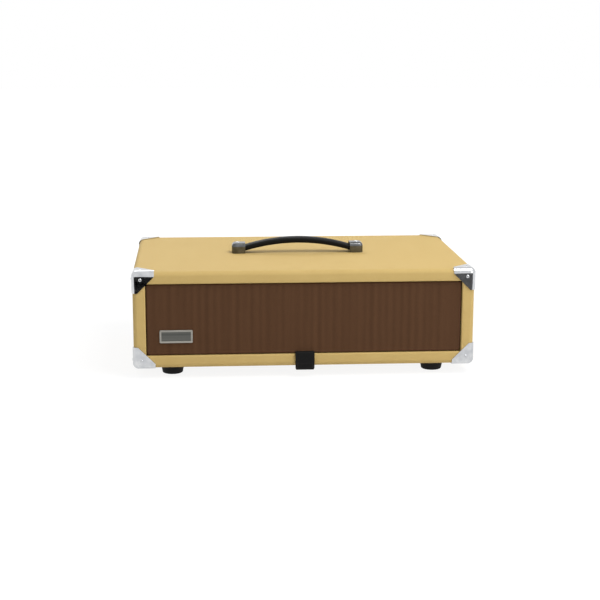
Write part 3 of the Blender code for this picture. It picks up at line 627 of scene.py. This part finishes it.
# ---------------------------------------------------------------- corner caps
def cap_pattern():
    """A pressed cap for the corner at the origin of a box that fills the positive octant."""
    shape = bmesh.new()
    span = 3 * CAP_LEG
    outer_corner = Vector((-CAP_PROUD, -CAP_PROUD, -CAP_PROUD))
    add_box(shape, outer_corner, outer_corner + Vector((span, span, span)))
    tip = min(shape.verts, key=lambda v: sum(v.co))
    bmesh.ops.bevel(
        shape,
        geom=list(tip.link_edges),
        offset=EDGE_RADIUS + CAP_PROUD,
        segments=10,
        affect="EDGES",
        profile=0.5,
    )
    far = [f for f in shape.faces if max(f.calc_center_median()) > span - CAP_PROUD - 0.001]
    bmesh.ops.delete(shape, geom=far, context="FACES")
    cuts = [(Vector((1, 1, 1)) * CAP_DIAGONAL / 3, (1, 1, 1))]
    cuts += [(Vector(axis) * CAP_LEG, axis) for axis in ((1, 0, 0), (0, 1, 0), (0, 0, 1))]
    for point, normal in cuts:
        everything = shape.verts[:] + shape.edges[:] + shape.faces[:]
        bmesh.ops.bisect_plane(shape, geom=everything, plane_co=point, plane_no=normal, clear_outer=True)
    bmesh.ops.remove_doubles(shape, verts=shape.verts, dist=0.00001)
    leg_tips = [
        v
        for v in shape.verts
        if v.is_boundary and max(v.co) > CAP_LEG - 0.0001 and abs(sum(v.co) - CAP_DIAGONAL) < 0.0001
    ]
    bmesh.ops.bevel(shape, geom=leg_tips, offset=0.0022, segments=5, affect="VERTICES", profile=0.5)
    bmesh.ops.recalc_face_normals(shape, faces=shape.faces)
    facing = sum((f.normal.dot(Vector((1, 1, 1))) * f.calc_area() for f in shape.faces), 0.0)
    if facing > 0:
        bmesh.ops.reverse_faces(shape, faces=shape.faces[:])
    obj = thickened(finished("cap_pattern", shape), CAP_SHEET)
    soften(obj, 0.00045, 2, 50)
    return applied(obj)


def corner_caps():
    pattern = cap_pattern()
    screw_places = []
    inset = CAP_DIAGONAL * 0.31
    for side, x, sx in (("left", LEFT, 1), ("right", RIGHT, -1)):
        for end, y, sy in (("front", FRONT, 1), ("rear", BACK, -1)):
            for level, z, sz in (("bottom", BOTTOM, 1), ("top", TOP, -1)):
                name = f"corner_{end}_{level}_{side}"
                matrix = Matrix.Translation((x, y, z)) @ Matrix.Diagonal((sx, sy, sz, 1))
                mesh = copies(name, pattern, [matrix])
                sharpen(new_piece(name + "_cap", mesh, "chrome", "cabinet", "chrome", name))
                for axis in range(3):
                    spot = Vector((inset, inset, inset))
                    spot[axis] = -CAP_PROUD
                    out = Vector((0, 0, 0))
                    out[axis] = -1
                    signs = Vector((sx, sy, sz))
                    where = Vector((x, y, z)) + spot * signs
                    screw_places.append((where, out * signs))
    screws("corner_screws", screw_places, 0.0027, 0.0011)


# ---------------------------------------------------------------- feet
def feet():
    """Tapered rubber feet with a soft lower edge, a steel washer and a screw in the recess."""
    low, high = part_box("foot_front_left")
    radius, height = (high.x - low.x) / 2, high.z - low.z
    tread = radius - FOOT_TAPER
    edge = FOOT_EDGE
    lower = [(tread - edge * (1 - math.cos(a)), edge * (1 - math.sin(a))) for a in quarter(5)]
    profile = [
        (0, height),
        (radius - 0.0006, height),
        (radius, height - 0.0006),
        (radius, height - 0.0034),
        (radius - 0.0005, height - 0.0042),
        *lower,
        (FOOT_RECESS_RADIUS + 0.0008, 0),
        (FOOT_RECESS_RADIUS, 0.0008),
        (FOOT_RECESS_RADIUS, FOOT_RECESS_DEPTH),
        (0, FOOT_RECESS_DEPTH),
    ]
    pattern = lathe(profile)
    washer_back = FOOT_RECESS_DEPTH - CLEARANCE
    rim = [(0.0066, WASHER_FACE), (0.0070, 0.0094), (0.0070, washer_back)]
    washer = lathe([(0, WASHER_FACE), *rim, (0, washer_back)], 32)
    spots, places = [], []
    for end in ("front", "rear"):
        for side in ("left", "right"):
            name = f"foot_{end}_{side}"
            low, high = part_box(name)
            centre = Vector(((low.x + high.x) / 2, (low.y + high.y) / 2, 0))
            spot = Matrix.Translation(centre)
            mesh = copies(name, pattern, [spot])
            sharpen(new_piece(name + "_rubber", mesh, "rubber", "cabinet", "black_rubber", name))
            spots.append(spot)
            places.append((centre + Vector((0, 0, WASHER_FACE)), (0, 0, -1)))
    washers = copies("foot_washers", washer, spots)
    sharpen(new_piece("foot_washers", washers, "steel", "cabinet", "plated_steel"))
    screws("foot_screws", places, 0.0042, 0.0022, material="steel", slot="plated_steel")


# ---------------------------------------------------------------- handle
def strap_middle(x):
    share = min(abs(x) / STRAP_CAPTIVE_X, 1)
    return STRAP_END_HEIGHT + STRAP_RISE * (1 - share**2)


def dense(points, most):
    """The ring with long stretches split, so that a groove can be pressed into it."""
    found = []
    for (ay, az), (by, bz) in zip(points, points[1:] + points[:1]):
        count = max(1, math.ceil(math.hypot(by - ay, bz - az) / most))
        found += [(ay + (by - ay) * i / count, az + (bz - az) * i / count) for i in range(count)]
    return found


def strap():
    """The moulded strap: an arch with a crowned top and a stitched groove along each edge."""
    section = dense(rounded_ring(STRAP_WIDTH / 2, STRAP_THICKNESS / 2, 0.0034, 5), 0.0009)
    across = lengths(section)
    rows, uvs = [], []
    stations = 96
    for station in range(stations + 1):
        x = STRAP_HALF_LENGTH * (2 * station / stations - 1)
        flare = 0.0015 * (x / STRAP_HALF_LENGTH) ** 4
        tip = max(0.0, (abs(x) - STRAP_TAPER_X) / (STRAP_HALF_LENGTH - STRAP_TAPER_X)) ** 2
        wide = (1 - (flare + 0.0002) / STRAP_WIDTH) * (1 - STRAP_TAPER * tip)
        thinning = 0.0005 * (x / STRAP_HALF_LENGTH) ** 2 + 0.0002
        thick = (1 - thinning / STRAP_THICKNESS) * (1 - STRAP_TAPER * tip)
        row = []
        for y, z in section:
            from_groove = abs(y) - STRAP_WIDTH / 2 + 0.0044
            sink = 0.0008 * math.exp(-((from_groove / 0.0010) ** 2)) + 0.0009 * (2 * y / STRAP_WIDTH) ** 2
            height = z * thick - (sink if z > 0 else 0)
            row.append((x, y * wide, TOP + strap_middle(x) + height))
        rows.append(row)
        uvs.append([(u, x) for u in across])
    mesh = loft("handle_strap_grip", rows, uvs, fill_ends=True)
    obj = new_piece("handle_strap_grip", mesh, "strap", "handle_strap", "black_leather", "handle_strap")
    sharpen(obj, 60)
    strap_stitches()


def strap_stitches():
    """A row of stitches in the groove along each edge of the strap."""
    stitch = bar((-0.0016, -0.0004, -0.0003), (0.0016, 0.0004, 0.0003), 0.00025, 2)
    spots = []
    pitch = 0.0044
    count = int(STRAP_STITCHED / pitch)
    for index in range(count + 1):
        x = (index - count / 2) * pitch
        slope = -2 * STRAP_RISE * x / STRAP_CAPTIVE_X**2
        height = TOP + strap_middle(x) + STRAP_THICKNESS / 2 - 0.00125
        for side in (-1, 1):
            place = Matrix.Translation((x, side * (STRAP_WIDTH / 2 - 0.0045), height))
            spots.append(place @ Matrix.Rotation(-math.atan(slope), 4, "Y"))
    mesh = copies("strap_stitches", stitch, spots)
    new_piece("strap_stitches", mesh, "thread", "handle_strap", "black_leather")


def lies_at(piece, axis, value):
    """Whether every corner of an edge or face has this coordinate."""
    return all(abs(v.co[axis] - value) < 0.00001 for v in piece.verts)


def handle_caps():
    """Domed end caps pressed from sheet, open below and where the strap comes out."""
    sheet, rounding = 0.0012, 0.0068
    places = []
    for side, sign in (("left", -1), ("right", 1)):
        low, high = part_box(f"handle_cap_{side}")
        mouth = high.x if sign < 0 else low.x
        shape = bmesh.new()
        add_box(shape, low, high)
        opening = [(2, low.z), (0, mouth)]
        kept = [e for e in shape.edges if not any(lies_at(e, axis, value) for axis, value in opening)]
        bmesh.ops.bevel(shape, geom=kept, offset=rounding, segments=8, affect="EDGES", profile=0.5)
        open_faces = [f for f in shape.faces if any(lies_at(f, axis, value) for axis, value in opening)]
        bmesh.ops.delete(shape, geom=open_faces, context="FACES")
        obj = thickened(finished("cap_shell", shape), sheet)
        soften(obj, 0.0004, 2, 50)
        name = f"handle_cap_{side}"
        # The chrome caps take the darker copy of chrome, which paints dark reflections into them.
        sharpen(new_piece(name + "_shell", applied(obj), "painted_dark_chrome", "cabinet", "chrome", name))
        places.append((Vector(((low.x + high.x) / 2 + sign * 0.001, 0, high.z)), (0, 0, 1)))
    screws("handle_screws", places, 0.0034, 0.0015)


# ---------------------------------------------------------------- grille cover
def cloth_profile(depth):
    """From the wrap behind the board to the face: (inset, distance behind the face, cloth travelled)."""
    bend = CLOTH_EDGE
    points = [(CLOTH_WRAP, depth, 0.0), (bend, depth, CLOTH_WRAP - bend)]
    travelled = points[-1][2]
    for a in quarter(4)[1:]:
        points.append((bend * (1 - math.sin(a)), depth - bend * (1 - math.cos(a)), travelled + bend * a))
    travelled = points[-1][2] + depth - 2 * bend
    for a in quarter(6):
        points.append((bend * (1 - math.cos(a)), bend * (1 - math.sin(a)), travelled + bend * a))
    return points


def grille_cloth():
    """The cloth: stretched over the board's face, round its edges and on to its back."""
    low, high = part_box("grille_cloth")
    half_x, half_z = (high.x - low.x) / 2, (high.z - low.z) / 2
    middle = (low.z + high.z) / 2
    depth = high.y - low.y
    profile = cloth_profile(depth)
    edge = profile[-1][2]
    rows, uvs = [], []
    face_rings = 14
    for index in range(1, face_rings + 1):
        inset = CLOTH_EDGE + (half_z - 0.002 - CLOTH_EDGE) * (index / face_rings) ** 1.3
        profile.append((inset, -1, edge + inset - CLOTH_EDGE))
    for inset, back, travelled in profile:
        ring = rounded_ring(half_x - inset, half_z - inset, max(0.0045 - inset, 0.0002))
        unfold = travelled - edge + CLOTH_EDGE
        flat_ring = rounded_ring(half_x - unfold, half_z - unfold, 0.0002)
        row = []
        for x, z in ring:
            if back >= 0:
                y = low.y + back
            else:
                rise = min(1, (half_x - abs(x)) / 0.03) * min(1, (half_z - abs(z)) / 0.03)
                y = low.y + CLOTH_CROWN * (1 - rise)
                y += 0.00012 * noise.noise(Vector((x * 60, z * 14, 3.1)))
            row.append((x, y, middle + z))
        rows.append(row)
        uvs.append([*flat_ring, flat_ring[0]])

    mesh = loft("grille_cloth_wrap", rows, uvs)
    shape = bmesh.new()
    shape.from_mesh(mesh)
    layer = shape.loops.layers.uv.active
    inner = [e for e in shape.edges if e.is_boundary and abs(e.verts[0].co.z - middle) < 0.01]
    for face in bmesh.ops.edgeloop_fill(shape, edges=inner)["faces"]:
        for loop in face.loops:
            loop[layer].uv = (loop.vert.co.x, loop.vert.co.z - middle)
    bmesh.ops.recalc_face_normals(shape, faces=shape.faces)
    shape.to_mesh(mesh)
    shape.free()
    mesh = applied(thickened(mesh, CLOTH_THICKNESS))
    cloth = new_piece("grille_cloth_wrap", mesh, "grille", "grille_cover", "grille_cloth", "grille_cloth")


def badge():
    """A bare plate: rounded corners, a raised rim and a brushed field."""
    low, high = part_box("badge_plate")
    middle = (low + high) / 2
    half_x, half_z, depth = (high.x - low.x) / 2, (high.z - low.z) / 2, high.y - low.y
    steps = [
        (0, high.y),
        (0, low.y + 0.0005),
        (0.0002, low.y + 0.0001),
        (0.0006, low.y),
        (0.0026, low.y),
        (0.0030, low.y + 0.0002),
        (0.0033, low.y + 0.0007),
    ]
    rows = []
    for inset, y in steps:
        ring = rounded_ring(half_x - inset, half_z - inset, 0.0022 - inset)
        rows.append([(middle.x + x, y, middle.z + z) for x, z in ring])
    mesh = loft("badge_rim", rows, fill_ends=True)
    sharpen(new_piece("badge_rim", mesh, "badge_rim", "grille_cover", "badge_metal", "badge_plate"), 30)
    inset, front = 0.0032, low.y + 0.0006
    ring = rounded_ring(half_x - inset, half_z - inset, 0.0008)
    rows = [[(middle.x + x, y, middle.z + z) for x, z in ring] for y in (low.y + depth / 2, front)]
    mesh = loft("badge_field", rows, fill_ends=True)
    sharpen(new_piece("badge_field", mesh, "badge_field", "grille_cover", "badge_metal"), 30)


def tab_path():
    """The strip's middle line as (y, z): out under the cover, over the box's edge and down."""
    root_low, root_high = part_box("pull_tab_root")
    flap_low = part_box("pull_tab")[0]
    level = (root_low.z + root_high.z) / 2
    hang = flap_low.y + 0.0014
    bend = 0.0022
    points = [(root_high.y - 0.001, level), (FRONT + 0.004, level)]
    for a in quarter(6):
        points.append((hang + bend * (1 - math.sin(a)), level - bend * (1 - math.cos(a))))
    drop = level - bend - flap_low.z - 0.0006
    steps = 14
    for step in range(1, steps + 1):
        share = step / steps
        points.append((hang - 0.0002 * math.sin(math.pi * share), level - bend - drop * share))
    return points


def pull_tab():
    """One strip of webbing: its root lies under the cover, and its free end is folded and stitched."""
    low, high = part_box("pull_tab")
    half = (high.x - low.x) / 2
    path = tab_path()
    travelled = [0.0]
    for (ay, az), (by, bz) in zip(path, path[1:]):
        travelled.append(travelled[-1] + math.hypot(by - ay, bz - az))
    rows, uvs = [], []
    for index, (y, z) in enumerate(path):
        before, after = path[max(index - 1, 0)], path[min(index + 1, len(path) - 1)]
        along = Vector((0, after[0] - before[0], after[1] - before[1])).normalized()
        out = Vector((1, 0, 0)).cross(along)
        near_end = (travelled[-1] - travelled[index]) / 0.004
        width = half - 0.0014 * max(0.0, 1 - near_end) ** 2
        thick = 0.0012 if travelled[-1] - travelled[index] > 0.0135 else 0.00138
        if index == len(path) - 1:
            thick *= 0.55
        ring = rounded_ring(width, thick, 0.0007, 3)
        rows.append([Vector((0, y, z)) + Vector((1, 0, 0)) * a + out * b for a, b in ring])
        uvs.append([(u, travelled[index]) for u in lengths(ring)])
    mesh = loft("pull_tab_strip", rows, uvs, fill_ends=True)
    strip = new_piece("pull_tab_strip", mesh, "webbing", None, "black_leather", "pull_tab", "pull_tab_root")
    sharpen(strip, 70)
    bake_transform(strip)
    tab_stitches(low, half)


def tab_stitches(low, half):
    """A stitched box near the tab's free end."""
    stitch = bar((-0.0012, -0.0003, -0.0003), (0.0012, 0.0003, 0.0003), 0.0002, 2)
    spots = []
    reach, bottom = half - 0.0035, low.z + 0.0032
    top = bottom + 0.0085
    y = low.y + 0.0001
    pitch = 0.0033
    across = int(2 * reach / pitch)
    for index in range(across + 1):
        x = (index - across / 2) * pitch
        spots += [Matrix.Translation((x, y, z)) for z in (bottom, top)]
    upright = Matrix.Rotation(math.pi / 2, 4, "Y")
    for index in range(3):
        z = bottom + (index + 0.5) * (top - bottom) / 3
        spots += [Matrix.Translation((x, y, z)) @ upright for x in (-reach, reach)]
    new_piece("tab_stitches", copies("tab_stitches", stitch, spots), "thread", "pull_tab", "black_leather")


def hook_strips():
    """Hook-and-loop strips: one half on each batten, the other on the back of the cover."""
    cover_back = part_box("grille_board")[1].y
    batten_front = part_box("front_batten_left")[0].y
    middle = (cover_back + batten_front) / 2
    for side in ("left", "right"):
        low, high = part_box(f"front_batten_{side}")
        for name, body, y_low, y_high in (
            (f"loop_strip_{side}", "grille_cover", cover_back + CLEARANCE, middle - CLEARANCE),
            (f"hook_strip_{side}", "cabinet", middle + CLEARANCE, batten_front - CLEARANCE),
        ):
            corner_low = (low.x + STRIP_SIDE, y_low, low.z + STRIP_END)
            corner_high = (high.x - STRIP_SIDE, y_high, high.z - STRIP_END)
            new_piece(name, bar(corner_low, corner_high, 0.0003, 2), "hook", body, "black_leather")


# ---------------------------------------------------------------- control panel
def at_depth(name, y):
    """The middle of a node's box, at the given y."""
    low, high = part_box(name)
    return Vector(((low.x + high.x) / 2, y, (low.z + high.z) / 2))


def outline_mesh(points, low, high, radius):
    """A flat (x, z) outline thickened along Y and softened at its edges."""

    def build(shape):
        front = [shape.verts.new((x, low, z)) for x, z in points]
        back = [shape.verts.new((x, high, z)) for x, z in points]
        shape.faces.new(front)
        shape.faces.new(back[::-1])
        for i in range(len(points)):
            j = (i + 1) % len(points)
            shape.faces.new((front[j], front[i], back[i], back[j]))
        bmesh.ops.recalc_face_normals(shape, faces=shape.faces)

    obj = loose(mesh_from("outline", build))
    soften(obj, radius, 3, 25)
    return applied(obj)


def knob_outline():
    tail, tip_half, tip = 0.0072, 0.0015, 0.0162
    turns = 18
    start = math.radians(20)
    sweep = math.pi + 2 * start
    points = [(-tip_half, tip), (tip_half, tip)]
    for index in range(turns):
        angle = start - sweep * index / (turns - 1)
        points.append((tail * math.cos(angle), tail * math.sin(angle)))
    return points


def knobs():
    """Pointer knobs with a round skirt and a dark line along the pointer."""
    rim = [(0.0088, SKIRT_FRONT), (0.0096, 0.0088), (0.0112, 0.0062), (0.0113, SKIRT_BACK)]
    skirt = lathe([(0, SKIRT_FRONT), *rim, (0, SKIRT_BACK)])
    skirt.transform(Matrix.Rotation(math.pi / 2, 4, "X"))
    pointer = outline_mesh(knob_outline(), POINTER_FRONT, POINTER_BACK, 0.0012)
    line = bar((-0.0005, -0.01555, 0.004), (0.0005, -0.0150, 0.0155), 0.0001, 1)
    for name in CONTROLS:
        centre = Matrix.Translation(at_depth(f"{name}_pot", FACE_FRONT))
        body = f"{name}_knob"
        mesh = merged("knob", [copies("part", part, [centre]) for part in (skirt, pointer)])
        sharpen(new_piece(f"{name}_knob_shell", mesh, "knob", body, "cream_knob", f"{name}_knob"))
        new_piece(f"{name}_knob_line", copies("line", line, [centre]), "nylon", body, "black_nylon")


def numeral(text, size, where):
    """A flat number on the face plate, as a mesh."""
    curve = bpy.data.curves.new("numeral", "FONT")
    curve.body = text
    curve.size = size
    curve.align_x = "CENTER"
    curve.align_y = "CENTER"
    curve.extrude = 0.00005
    obj = linked("numeral", curve)
    obj.rotation_euler.x = math.pi / 2
    obj.location = where
    return applied(obj)


def dial_marks():
    """Ticks and the numbers 0 to 10 round each knob, and 1 and 2 by the input jacks."""
    tick = bar((-0.00025, -0.00006, -0.0008), (0.00025, 0.00004, 0.0008))
    surface = FACE_FRONT - 0.00012
    meshes = []
    for name in CONTROLS:
        centre = at_depth(f"{name}_pot", surface)
        for mark in range(11):
            angle = math.radians(DIAL_START + DIAL_STEP * mark)
            out = Vector((math.sin(angle), 0, math.cos(angle)))
            spot = Matrix.Translation(centre + out * TICK_RADIUS) @ Matrix.Rotation(angle, 4, "Y")
            meshes.append(copies("tick", tick, [spot]))
            if mark % 2 == 0:
                meshes.append(numeral(str(mark), NUMERAL_SIZE, centre + out * NUMERAL_RADIUS))
    for number, name in (("1", "input_jack_high"), ("2", "input_jack_low")):
        where = at_depth(name, surface) + Vector((0, 0, JACK_NUMERAL_RISE))
        meshes.append(numeral(number, JACK_NUMERAL_SIZE, where))
    new_piece("dial_marks", merged("dial_marks", meshes), "print", "cabinet", "panel_print")


def nut_rings(name, places, outward, outer, inner, height):
    """Hexagonal nuts with a washer under each, on a panel."""
    sides = 48
    washer = outer * 1.12
    round_ring, hexagon = [], []
    for i in range(sides):
        angle = 2 * math.pi * i / sides
        within = (angle + math.pi / 6) % (math.pi / 3) - math.pi / 6
        across = outer * math.cos(math.pi / 6) / math.cos(within)
        round_ring.append(Vector((math.cos(angle), math.sin(angle), 0)))
        hexagon.append(round_ring[-1] * across)
    rows = []
    for ring, scale, z in (
        (round_ring, inner, 0),
        (round_ring, washer, 0),
        (round_ring, washer, 0.0004),
        (hexagon, 1, 0.0004),
        (hexagon, 1, height - 0.0004),
        (hexagon, 0.92, height),
        (round_ring, inner, height),
    ):
        rows.append([point * scale + Vector((0, 0, z)) for point in ring])
    pattern = loft("nut", rows, closed=True)
    spots = [aimed(where, outward) for where in places]
    sharpen(new_piece(name, copies(name, pattern, spots), "chrome", "cabinet", "chrome"), 30)


def panel_hardware():
    """Nuts on the jacks and switches, and the ring round the lamp."""
    groups = {
        "input_jack_nuts": (("input_jack_high", "input_jack_low"), JACK_NUT),
        "switch_nuts": (("standby_switch", "power_switch"), SWITCH_NUT),
        "lamp_bezel": (("pilot_lamp",), LAMP_BEZEL),
    }
    for group, (names, sizes) in groups.items():
        places = [at_depth(name, FACE_FRONT - CLEARANCE) for name in names]
        nut_rings(group, places, (0, -1, 0), *sizes)
    rear = at_depth("speaker_jack", CHASSIS_BACK + CLEARANCE)
    nut_rings("speaker_jack_nut", [rear], (0, 1, 0), *JACK_NUT)


# ---------------------------------------------------------------- inside and behind
def chassis_screws():
    """Machine screws under the box, into the chassis flanges."""
    front_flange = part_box("chassis")[0].y + FLANGE_SCREW_INSET
    rear_flange = CHASSIS_BACK - FLANGE_SCREW_INSET
    sides = (-FLANGE_SCREW_X, FLANGE_SCREW_X)
    places = [((x, y, BOTTOM), (0, 0, -1)) for x in sides for y in (front_flange, rear_flange)]
    screws("chassis_screws", places, 0.0046, 0.0020, material="steel", slot="plated_steel")
    low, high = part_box("mains_inlet")
    places = [((x, high.y, (low.z + high.z) / 2), (0, 1, 0)) for x in (low.x + 0.0045, high.x - 0.0045)]
    screws("inlet_screws", places, 0.0024, 0.0011)


def valve_insides():
    """Grey plates and mica discs inside each bulb."""
    for name in ("preamp_valve_1", "preamp_valve_2", "power_valve_1", "power_valve_2"):
        low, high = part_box(name)
        height = high.z - low.z
        radius = (high.x - low.x) / 2
        wide, narrow, top = radius * 0.78, radius * 0.45, height * 0.62
        profile = [(0, 0.006), (wide, 0.006), (wide, 0.0068), (narrow, 0.0069), (narrow, top)]
        profile += [(wide, top + 0.0001), (wide, top + 0.0008), (0, top + 0.0008)]
        plate = lathe(profile, 24)
        spot = Matrix.Translation(((low.x + high.x) / 2, (low.y + high.y) / 2, low.z))
        mesh = copies("plates", plate, [spot])
        sharpen(new_piece(f"{name}_plates", mesh, "plate", "cabinet", "plated_steel"))


CAD_FINISHES = {
    "face_plate": "panel",
    "chassis": "steel",
    "rear_guard": "guard",
    "circuit_board": "fibre",
    "power_transformer": "iron",
    "output_transformer": "iron",
    "filter_capacitor": "can",
    "grille_board": "wood",
    "front_batten_left": "black_wood",
    "front_batten_right": "black_wood",
    "pilot_lamp": "jewel",
    "input_jack_high": "nylon",
    "input_jack_low": "nylon",
    "speaker_jack": "nylon",
    "mains_inlet": "nylon",
    "fuse_holder": "nylon",
    "fuse_cap": "nylon",
    "standby_lever": "chrome",
    "power_lever": "chrome",
    "standby_switch": "steel",
    "power_switch": "steel",
}


def finish_cad_nodes():
    """Gives every CAD node that stays visible its own material."""
    finishes = dict(CAD_FINISHES)
    for name in CONTROLS:
        finishes[f"{name}_pot"] = "steel"
    for name in NODES:
        if "_valve_" in name:
            finishes[name] = "ceramic" if name.endswith("_socket") else "glass"
    for name, key in finishes.items():
        node = NODES[name]
        for slot in node.material_slots:
            slot.material = M[key]


# ---------------------------------------------------------------- floor, light and camera
def flat_square(name, half):
    corners = [(-half, -half, 0), (half, -half, 0), (half, half, 0), (-half, half, 0)]
    return mesh_from(name, lambda shape: shape.faces.new([shape.verts.new(point) for point in corners]))


def white_stage():
    """A pale floor that looks white to the camera and keeps a faint shadow."""
    mesh = flat_square("floor", 9)
    floor = linked("floor", mesh)
    material = bpy.data.materials.new("floor")
    material.use_nodes = True
    tree = material.node_tree
    tree.nodes.clear()
    plain = add_node(tree, "BsdfDiffuse", {"Color": (0.8, 0.8, 0.8, 1)})
    faint = add_node(tree, "BsdfDiffuse", {"Color": (0.15, 0.15, 0.15, 1)})
    where = add_node(tree, "TexCoord", {}, "Object")
    away = add_node(tree, "VectorMath", {0: where}, "Value", operation="LENGTH")
    whiter = {"Value": away, "From Min": 0.45, "From Max": 1.3, "To Min": 0.89, "To Max": 1.0}
    glow = add_node(tree, "Emission", {"Strength": add_node(tree, "MapRange", whiter)})
    both = add_node(tree, "AddShader", {0: faint, 1: glow})
    show(tree, "Material", plain, both)
    mesh.materials.append(material)


def seen_directly(tree):
    """1 for rays from the camera, off metal or through glass, and 0 for the rest."""
    path = tree.nodes.new("ShaderNodeLightPath")
    total = path.outputs["Is Camera Ray"]
    for name in ("Is Glossy Ray", "Is Transmission Ray"):
        total = add_node(tree, "Math", {0: total, 1: path.outputs[name]}, operation="MAXIMUM")
    return total


def show(tree, kind, lit, seen):
    """Makes seen what is looked at directly, and lit what all other light meets."""
    look = add_node(tree, "MixShader", {0: seen_directly(tree), 1: lit, 2: seen})
    output = tree.nodes.new("ShaderNodeOutput" + kind)
    tree.links.new(look, output.inputs[0])


def world():
    """White to the camera and in reflections, and a soft grey as light."""
    sky = bpy.data.worlds.new("studio")
    bpy.context.scene.world = sky
    sky.use_nodes = True
    tree = sky.node_tree
    tree.nodes.clear()
    white = (1, 1, 1, 1)
    lit = add_node(tree, "Background", {"Color": white, "Strength": 0.42})
    seen = add_node(tree, "Background", {"Color": white, "Strength": 1.0})
    show(tree, "World", lit, seen)


def area_light(name, where, target, size, power):
    light = bpy.data.lights.new(name, "AREA")
    light.shape = "DISK"
    light.size = size
    light.energy = power
    obj = linked(name, light)
    obj.location = where
    obj.rotation_euler = (Vector(target) - Vector(where)).to_track_quat("-Z", "Y").to_euler()


def dark_card(name, where, target, width, height, grey):
    """A black card beside the camera's view, for dark reflections in the metal."""
    mesh = flat_square(name, 0.5)
    mesh.transform(Matrix.Diagonal((width, height, 1, 1)))
    material = bpy.data.materials.new(name)
    material.use_nodes = True
    shader = material.node_tree.nodes["Principled BSDF"]
    shader.inputs["Base Color"].default_value = (grey, grey, grey, 1)
    shader.inputs["Specular IOR Level"].default_value = 0
    mesh.materials.append(material)
    card = linked(name, mesh)
    card.location = where
    card.rotation_euler = (Vector(target) - Vector(where)).to_track_quat("Z", "Y").to_euler()
    card.visible_camera = False
    card.visible_diffuse = False
    card.visible_shadow = False


def lights():
    centre = (0, 0, 0.1)
    area_light("key", (1.0, -1.0, 2.4), centre, 1.4, 40)
    area_light("fill", (1.6, -1.9, 1.1), centre, 1.6, 9)
    area_light("back", (-0.6, 2.0, 1.8), centre, 1.4, 14)
    dark_card("card_front_left", (-0.55, -1.5, 0.003), (-0.55, -1.5, 1), 1.5, 1.9, 0.002)
    dark_card("card_front_right", (0.8, -1.5, 0.003), (0.8, -1.5, 1), 1.2, 1.76, 0.09)


def camera():
    """The eye a little left of the middle and above the box, looking down and slightly right."""
    yaw, pitch, roll = math.radians(4.336), math.radians(11.75), math.radians(0.17)
    forward = Vector((math.sin(yaw) * math.cos(pitch), math.cos(yaw) * math.cos(pitch), -math.sin(pitch)))
    right = Vector((math.cos(yaw), -math.sin(yaw), 0))
    up = right.cross(forward)
    right, up = (
        right * math.cos(roll) + up * math.sin(roll),
        up * math.cos(roll) - right * math.sin(roll),
    )
    turn = Matrix((right, up, -forward)).transposed().to_4x4()
    data = bpy.data.cameras.new("camera")
    data.lens = 81.8
    data.sensor_width = 36
    obj = linked("camera", data)
    obj.matrix_world = Matrix.Translation((-0.176, FRONT - 2.209, TOP + 0.411)) @ turn
    bpy.context.scene.camera = obj


def build_scene():
    bpy.context.scene.view_settings.view_transform = "Standard"
    camera()
    white_stage()
    world()
    lights()
    covering()
    corner_caps()
    feet()
    strap()
    handle_caps()
    grille_cloth()
    badge()
    pull_tab()
    hook_strips()
    knobs()
    dial_marks()
    panel_hardware()
    chassis_screws()
    valve_insides()
    finish_cad_nodes()


build_scene()
